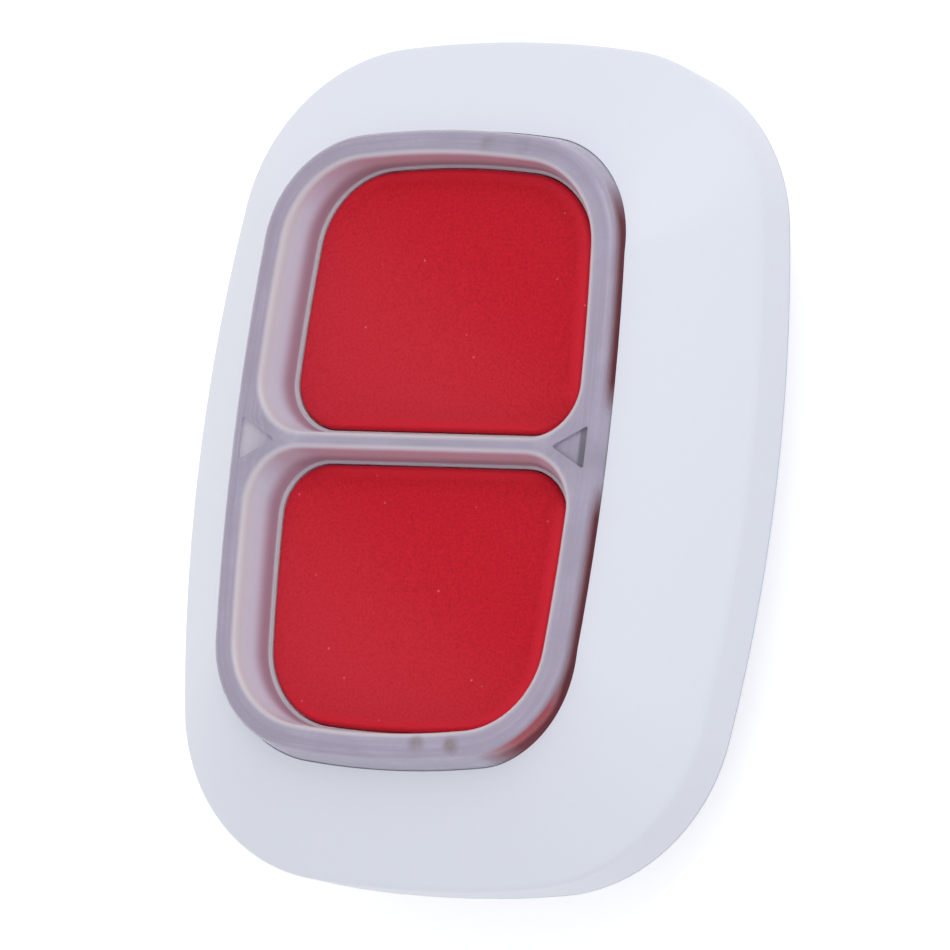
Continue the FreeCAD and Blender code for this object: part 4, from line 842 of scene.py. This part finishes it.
# Parts inside: name, colour, roughness, grain size and bump of each material slot
INNER_FINISHES = {
    "seal_rubber": ("seal rubber", (0.05, 0.05, 0.055), 0.7, 0.2 * MM, 0.2),
    "boot_rubber": ("milky silicone", (0.62, 0.62, 0.60), 0.5, 0.3 * MM, 0.1),
    "board_green": ("solder mask", (0.02, 0.16, 0.06), 0.35, 0.3 * MM, 0.1),
    "chip_black": ("moulded epoxy", (0.02, 0.02, 0.022), 0.55, 0.1 * MM, 0.3),
    "plunger_grey": ("grey plastic", (0.30, 0.30, 0.31), 0.4, 0.2 * MM, 0.1),
    "capacitor_tan": ("fired ceramic", (0.38, 0.24, 0.12), 0.3, 0.1 * MM, 0.1),
    "lamp_clear": ("amber resin", (0.75, 0.62, 0.35), 0.2, 0.1 * MM, 0.05),
    "contact_metal": ("nickel plate", (0.72, 0.70, 0.66), 0.25, 0.1 * MM, 0.1),
    "cell_steel": ("brushed steel", (0.60, 0.60, 0.61), 0.35, 0.1 * MM, 0.2),
}
METALS = ("contact_metal", "cell_steel")


def shared_finish(kind):
    """The finish of the white case or of a part inside, made once."""
    case = bpy.context.scene.button_case
    white = ("white plastic", case.white, case.roughness, 0.25 * MM, 0.05, 0.006)
    name, *look = white if kind == "case" else INNER_FINISHES[kind]
    metals = {"Metallic": 1.0} if kind in METALS else {}
    return bpy.data.materials.get(name) or new_material(name, *look, **metals)


# Operators

def outline_of(piece):
    return Outline(piece.half_width, piece.half_length, piece.corner, piece.side_bow, piece.end_bow)


def well_outline(clear):
    return HalfOutline(outline_of(clear).grown(-clear.rim), clear.bar / 2, clear.bar_flare)


def foot_outline(clear):
    well = well_outline(clear)
    whole = Outline(
        well.whole.half_width - clear.side_slope,
        well.whole.half_length - clear.end_slope,
        clear.foot_corner,
        well.whole.side_bow - clear.side_slope,
        well.whole.end_bow - clear.end_slope,
    )
    return HalfOutline(whole, well.line + clear.bar_slope, clear.foot_flare)


class BUTTON_OT_front_case(bpy.types.Operator):
    """Builds the domed white front of the case with its collar round the frame"""
    bl_idname = "panic_button.front_case"
    bl_label = "Front case"

    def execute(self, context):
        case, clear = context.scene.button_case, context.scene.button_frame
        crease_line, rim = outline_of(case), outline_of(clear)
        parting_line = crease_line.grown(-case.band_taper)
        face_line = Outline(
            rim.half_width + FACE_PAST_SIDE, rim.half_length - FACE_SHORT_OF_END,
            rim.corner - FACE_CORNER_LESS, rim.side_bow, rim.end_bow,
        )
        rings = [
            (parting_line.grown(-PARTING_GROOVE), case.parting),
            (parting_line, case.parting + PARTING_GROOVE),
        ]
        for step in range(FACE_STEPS + 1):
            part = step / FACE_STEPS
            height = case.crease + (case.face_top - case.crease) * part
            rings.append((crease_line.toward(face_line, part, case.face_bulge), height))
        bm = bmesh.new()
        crease_loop = add_shell(bm, rings)[2]
        bevel(bm, crease_loop, case.crease_softness, ROUND_STEPS, "EDGES")
        piece = make_object("front_shell", bm)

        inside = parting_line.grown(-case.wall)
        hollow = new_shell(
            (inside, case.parting - MM),
            (inside, case.crease - HOLLOW_BELOW_CREASE),
            (face_line, case.face_top - HOLLOW_BELOW_FACE),
        )
        step_line = parting_line.grown(-SEAL_STEP_IN)
        seal_step = new_shell(
            (step_line, case.parting - MM), (step_line, case.parting + SEAL_STEP_RISE),
        )
        seat = rim.grown(clear.flare)
        collar_line = seat.grown(COLLAR_WALL)
        collar = new_shell((collar_line, TOP - SEAT_DROP), (collar_line, TOP - COLLAR_DROP))
        bosses, screws = bmesh.new(), bmesh.new()
        for end in (1, -1):
            centre = (BOSS_X, BOSS_Y * end)
            add_pillar(bosses, centre, BOSS_RADIUS, TOP - BOSS_FOOT_DROP, TOP - BOSS_TOP_DROP)
            add_pillar(screws, centre, SCREW_RADIUS, TOP - SCREW_FOOT_DROP, TOP - SCREW_TOP_DROP)
            middle = LUG_MIDDLE * end
            add_block(
                bosses, (LUG_IN, middle - LUG_HALF, TOP - LUG_FOOT_DROP),
                (LUG_OUT, middle + LUG_HALF, TOP - LUG_TOP_DROP),
            )
        repeat_turned(bosses)
        repeat_turned(screws)
        lean = clear.flare * MM / SEAT_DROP
        opening = new_shell(
            (seat.grown(OPENING_GAP + lean), TOP - SEAT_CUT_DROP),
            (rim.grown(OPENING_GAP - lean), TOP + MM),
        )
        for tool, operation in (
            (hollow, "DIFFERENCE"), (seal_step, "DIFFERENCE"), (collar, "UNION"),
            (bosses, "UNION"), (screws, "DIFFERENCE"), (opening, "DIFFERENCE"),
        ):
            combine(piece, tool, operation)
        finish_piece(piece, shared_finish("case"), "casing", "case", "front_case")
        return {"FINISHED"}


def frame_rings(clear, rim):
    """The frame's outside: skirt, flange and sloping walls up to the rounded rim."""
    lean = math.atan2(clear.flare, SEAT_DROP)
    radius = clear.outer_round
    reach = radius * math.tan((math.pi / 2 - lean) / 2)
    flange = rim.grown(clear.flare + FLANGE_OUT)
    rings = [
        (rim.grown(SKIRT_OUT), TOP - SKIRT_DROP),
        (rim.grown(SKIRT_OUT), TOP - FLANGE_DROP),
        (flange, TOP - FLANGE_DROP),
        (flange, TOP - SEAT_DROP),
        (rim.grown(clear.flare), TOP - SEAT_DROP),
    ]
    for out, up in arc(lean):
        rings.append((rim.grown(radius * out - reach), TOP - radius + radius * up))
    return rings


def well_rings(clear, rim):
    """A well's inside: the key's chamber, lip, ledge and sloping walls up to the rounded rim."""
    well, foot = well_outline(clear), foot_outline(clear)
    chamber = HalfOutline(rim.grown(-CHAMBER_WALL), CHAMBER_LINE, CHAMBER_CORNER)
    hole = foot.grown(-clear.ledge)
    low = TOP - clear.depth
    rings = [(chamber, TOP - CUT_DROP), (chamber, low - clear.lip), (hole, low - clear.lip)]
    for past, short in rounding(clear.foot_round):
        rings.append((hole.grown(past), low - short))
    for past, short in rounding(clear.foot_round):
        rings.append((foot.toward(well, past / clear.depth).grown(-short), low + past))
    for past, short in rounding(clear.inner_round):
        rings.append((foot.toward(well, 1 - short / clear.depth).grown(past), TOP - short))
    rings.append((well.grown(clear.inner_round), TOP + MM))
    return rings


def pocket_cut(clear):
    """The two three-cornered light pockets at the ends of the bar."""
    base = clear.half_width - POCKET_INSET
    corners = ((base - POCKET_LENGTH, 0), (base, -POCKET_HALF), (base, POCKET_HALF))
    bm = bmesh.new()
    verts = [bm.verts.new((x, y, TOP - POCKET_DEPTH)) for x, y in corners]
    bm.faces.new(verts)
    bevel(bm, verts, POCKET_ROUND, POCKET_STEPS, "VERTICES")
    lifted = bmesh.ops.extrude_face_region(bm, geom=bm.faces[:])["geom"]
    bmesh.ops.translate(bm, verts=verts_of(lifted), vec=(0, 0, POCKET_DEPTH + MM))
    repeat_turned(bm)
    return bm


class BUTTON_OT_light_frame(bpy.types.Operator):
    """Builds the frosted clear frame with the bar between the keys and its light pockets"""
    bl_idname = "panic_button.light_frame"
    bl_label = "Light frame"

    def execute(self, context):
        clear = context.scene.button_frame
        rim = outline_of(clear)
        piece = make_object("clear_frame", new_shell(*frame_rings(clear, rim)))
        wells = new_shell(*well_rings(clear, rim))
        repeat_turned(wells)
        windows = bmesh.new()
        add_block(
            windows, (-WINDOW_HALF, rim.half_length - WINDOW_IN, TOP - CUT_DROP),
            (WINDOW_HALF, rim.half_length + WINDOW_OUT, TOP - WINDOW_DROP),
        )
        repeat_turned(windows)
        for cut in (wells, pocket_cut(clear), windows):
            combine(piece, cut, "DIFFERENCE")
        finish_piece(piece, frosted_plastic(clear), "casing", "clear_frame", "light_frame")

        def across_rim(place, normal):
            return min(rim.inset_of(place.x, place.y) / clear.rim, 1.5)

        for rule in (
            facing_well, across_rim, beside_keys, end_wall, corner, in_pocket, bright_pocket,
        ):
            paint(piece, rule)
        return {"FINISHED"}


def add_crown(bm, loop, middle):
    """Fills a ring with ever smaller rings, so that the face can be domed."""
    for step in range(FACE_STEPS, 0, -1):
        made = bmesh.ops.extrude_edge_only(bm, edges=loop)["geom"]
        verts = verts_of(made)
        edges = [item for item in made if isinstance(item, bmesh.types.BMEdge)]
        loop = [edge for edge in edges if all(vert in verts for vert in edge.verts)]
        part = max(step - 1, CROWN_CORE) / step
        bmesh.ops.scale(
            bm, vec=(part, part, 1), verts=verts, space=Matrix.Translation((0, -middle, 0)),
        )
    bmesh.ops.edgeloop_fill(bm, edges=loop)


class BUTTON_OT_keys(bpy.types.Operator):
    """Builds the two domed red keys"""
    bl_idname = "panic_button.keys"
    bl_label = "Keys"

    def execute(self, context):
        clear, key = context.scene.button_frame, context.scene.button_keys
        cap = foot_outline(clear).grown(-clear.ledge - key.gap)
        flange = HalfOutline(
            outline_of(clear).grown(-KEY_FLANGE_IN), KEY_FLANGE_LINE, KEY_FLANGE_CORNER,
        )
        hollow = cap.grown(-KEY_WALL)
        middle = (cap.line + cap.whole.half_length) / 2
        top = TOP - key.recess
        shoulder = TOP - clear.depth - clear.lip - KEY_FLANGE_GAP
        red = red_plastic(key)
        rings = [(flange, shoulder - KEY_FLANGE), (flange, shoulder), (cap, shoulder)]
        for out, up in arc():
            outline = cap.grown(key.edge_round * (out - 1))
            rings.append((outline, top - key.edge_round * (1 - up)))

        def lit_edge(place, normal):
            x, y = abs(place.x), abs(place.y)
            inset = min(cap.whole.inset_of(x, y), y - cap.line)
            fade = rise(place.x, LIT_EDGE_START, LIT_EDGE_FULL)
            return fade * (1 - rise(inset, key.edge_round, key.edge_round + LIT_EDGE_WIDTH))

        for side, turn in (("upper", 0), ("lower", math.pi)):
            body = f"{side}_button"
            bm = bmesh.new()
            add_crown(bm, add_shell(bm, rings, open_top=True)[-1], middle)
            for vert in bm.verts:
                if vert.co.z > shoulder + HAIR * 2:
                    from_middle = vert.co.x ** 2 + (vert.co.y - middle) ** 2
                    vert.co.z -= from_middle / (2 * key.crown_radius)
            turn_round(bm, bm.verts, turn)
            piece = make_object(f"{side}_key", bm)

            inside = new_shell((hollow, shoulder - 2 * MM), (hollow, top - KEY_WALL))
            post = bmesh.new()
            add_pillar(post, (0, middle), POST_RADIUS, TOP - POST_DROP, top - POST_BELOW_CROWN)
            for tool, operation in ((inside, "DIFFERENCE"), (post, "UNION")):
                turn_round(tool, tool.verts, turn)
                combine(piece, tool, operation)
            finish_piece(piece, red, body, "red_key", body)
            paint(piece, lit_edge)
        return {"FINISHED"}


class BUTTON_OT_inner_parts(bpy.types.Operator):
    """Gives the parts inside the case their finishes"""
    bl_idname = "panic_button.inner_parts"
    bl_label = "Inner parts"

    def execute(self, context):
        for subpart in frame["record"]["subparts"]:
            kind = subpart["material_slot"]
            if kind == "case" or kind in INNER_FINISHES:
                for slot in nodes[subpart["node"]].material_slots:
                    slot.material = shared_finish(kind)
        return {"FINISHED"}


class BUTTON_OT_soft_parts(bpy.types.Operator):
    """Copies the rubber boots and snap domes as pieces of their own"""
    bl_idname = "panic_button.soft_parts"
    bl_label = "Soft parts"

    def execute(self, context):
        for part, kind, drop, keep in SOFT_PARTS:
            for side in ("upper", "lower"):
                source = nodes[f"{side}_{part}"]
                bm = bmesh.new()
                bm.from_mesh(source.data)
                bm.transform(source.matrix_world)
                bmesh.ops.remove_doubles(bm, verts=bm.verts, dist=HAIR)
                piece = make_object(f"soft_{side}_{part}", bm)
                finish_piece(piece, shared_finish(kind), "casing", kind, f"{side}_{part}")
                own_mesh(piece)
        return {"FINISHED"}


class BUTTON_OT_stage(bpy.types.Operator):
    """Builds the floor, the soft light and the camera"""
    bl_idname = "panic_button.stage"
    bl_label = "Stage"

    def execute(self, context):
        stage, scene = context.scene.button_stage, context.scene
        scene.view_settings.view_transform = "Standard"
        self.add_floor(stage)
        self.add_lights(stage, scene)
        self.add_camera(stage, scene)
        return {"FINISHED"}

    def add_floor(self, stage):
        """A pale floor whose glow is seen but lights nothing."""
        bm = bmesh.new()
        bmesh.ops.create_grid(bm, x_segments=1, y_segments=1, size=FLOOR_SIZE)
        bmesh.ops.translate(bm, verts=bm.verts, vec=(0, 0, -FLOOR_DROP))
        floor = make_object("floor", bm)
        material = bpy.data.materials.new("pale floor")
        material.use_nodes = True
        tree = material.node_tree
        inputs = shader_inputs(
            tree, Base_Color=(*stage.floor, 1), Roughness=0.9, Specular_IOR_Level=0.0,
            Emission_Color=WHITE,
        )
        path = add_node(tree, "ShaderNodeLightPath").outputs
        seen = calculate(tree, "MAXIMUM", path["Is Camera Ray"], path["Is Glossy Ray"])
        seen = calculate(tree, "MAXIMUM", seen, path["Is Transmission Ray"])
        glow = calculate(tree, "MULTIPLY", seen, stage.floor_glow)
        tree.links.new(glow, inputs["Emission Strength"])
        floor.data.materials.append(material)

    def add_lights(self, stage, scene):
        world = bpy.data.worlds.new("even light")
        world.use_nodes = True
        sky = world.node_tree.nodes["Background"].inputs
        sky["Color"].default_value = WHITE
        sky["Strength"].default_value = stage.sky
        scene.world = world
        for name, watts, place in LAMPS:
            light = bpy.data.lights.new(name, "AREA")
            light.shape, light.size, light.energy = "SQUARE", LAMP_WIDTH, watts * stage.lamp
            lamp = bpy.data.objects.new(name, light)
            scene.collection.objects.link(lamp)
            lamp.location = place
            lamp.rotation_euler = (-lamp.location).to_track_quat("-Z", "Y").to_euler()

    def add_camera(self, stage, scene):
        back = Vector((
            math.sin(stage.yaw) * math.cos(stage.pitch),
            -math.sin(stage.pitch),
            math.cos(stage.yaw) * math.cos(stage.pitch),
        ))
        right = Vector((0, 1, 0)).cross(back).normalized()
        up = back.cross(right)
        turned_right = right * math.cos(stage.roll) + up * math.sin(stage.roll)
        turned_up = up * math.cos(stage.roll) - right * math.sin(stage.roll)
        camera_data = bpy.data.cameras.new("camera")
        camera_data.lens = stage.lens
        camera = bpy.data.objects.new("camera", camera_data)
        scene.collection.objects.link(camera)
        place = Vector((0, 0, scene.button_case.crease)) + back * stage.distance
        place -= turned_right * stage.aim_right + turned_up * stage.aim_up
        turn = Matrix((turned_right, turned_up, back)).transposed().to_4x4()
        camera.matrix_world = Matrix.Translation(place) @ turn
        scene.camera = camera


class BUTTON_PT_panel(bpy.types.Panel):
    """Lists the pieces of the panic button"""
    bl_idname = "BUTTON_PT_panel"
    bl_label = "Panic Button"
    bl_space_type = "VIEW_3D"
    bl_region_type = "UI"
    bl_category = "Panic Button"

    def draw(self, context):
        for operator in OPERATORS:
            self.layout.operator(operator.bl_idname)


SETTINGS = {
    "button_case": CaseSettings,
    "button_frame": FrameSettings,
    "button_keys": KeySettings,
    "button_stage": StageSettings,
}
OPERATORS = (
    BUTTON_OT_front_case, BUTTON_OT_light_frame, BUTTON_OT_keys, BUTTON_OT_inner_parts,
    BUTTON_OT_soft_parts, BUTTON_OT_stage,
)


def register():
    for kind in (*SETTINGS.values(), *OPERATORS, BUTTON_PT_panel):
        bpy.utils.register_class(kind)
    for name, kind in SETTINGS.items():
        setattr(bpy.types.Scene, name, PointerProperty(type=kind))


def unregister():
    for name in SETTINGS:
        delattr(bpy.types.Scene, name)
    for kind in (BUTTON_PT_panel, *OPERATORS, *SETTINGS.values()):
        bpy.utils.unregister_class(kind)


def main():
    register()
    for operator in OPERATORS:
        group, name = operator.bl_idname.split(".")
        getattr(getattr(bpy.ops, group), name)()


if __name__ == "__main__":
    main()
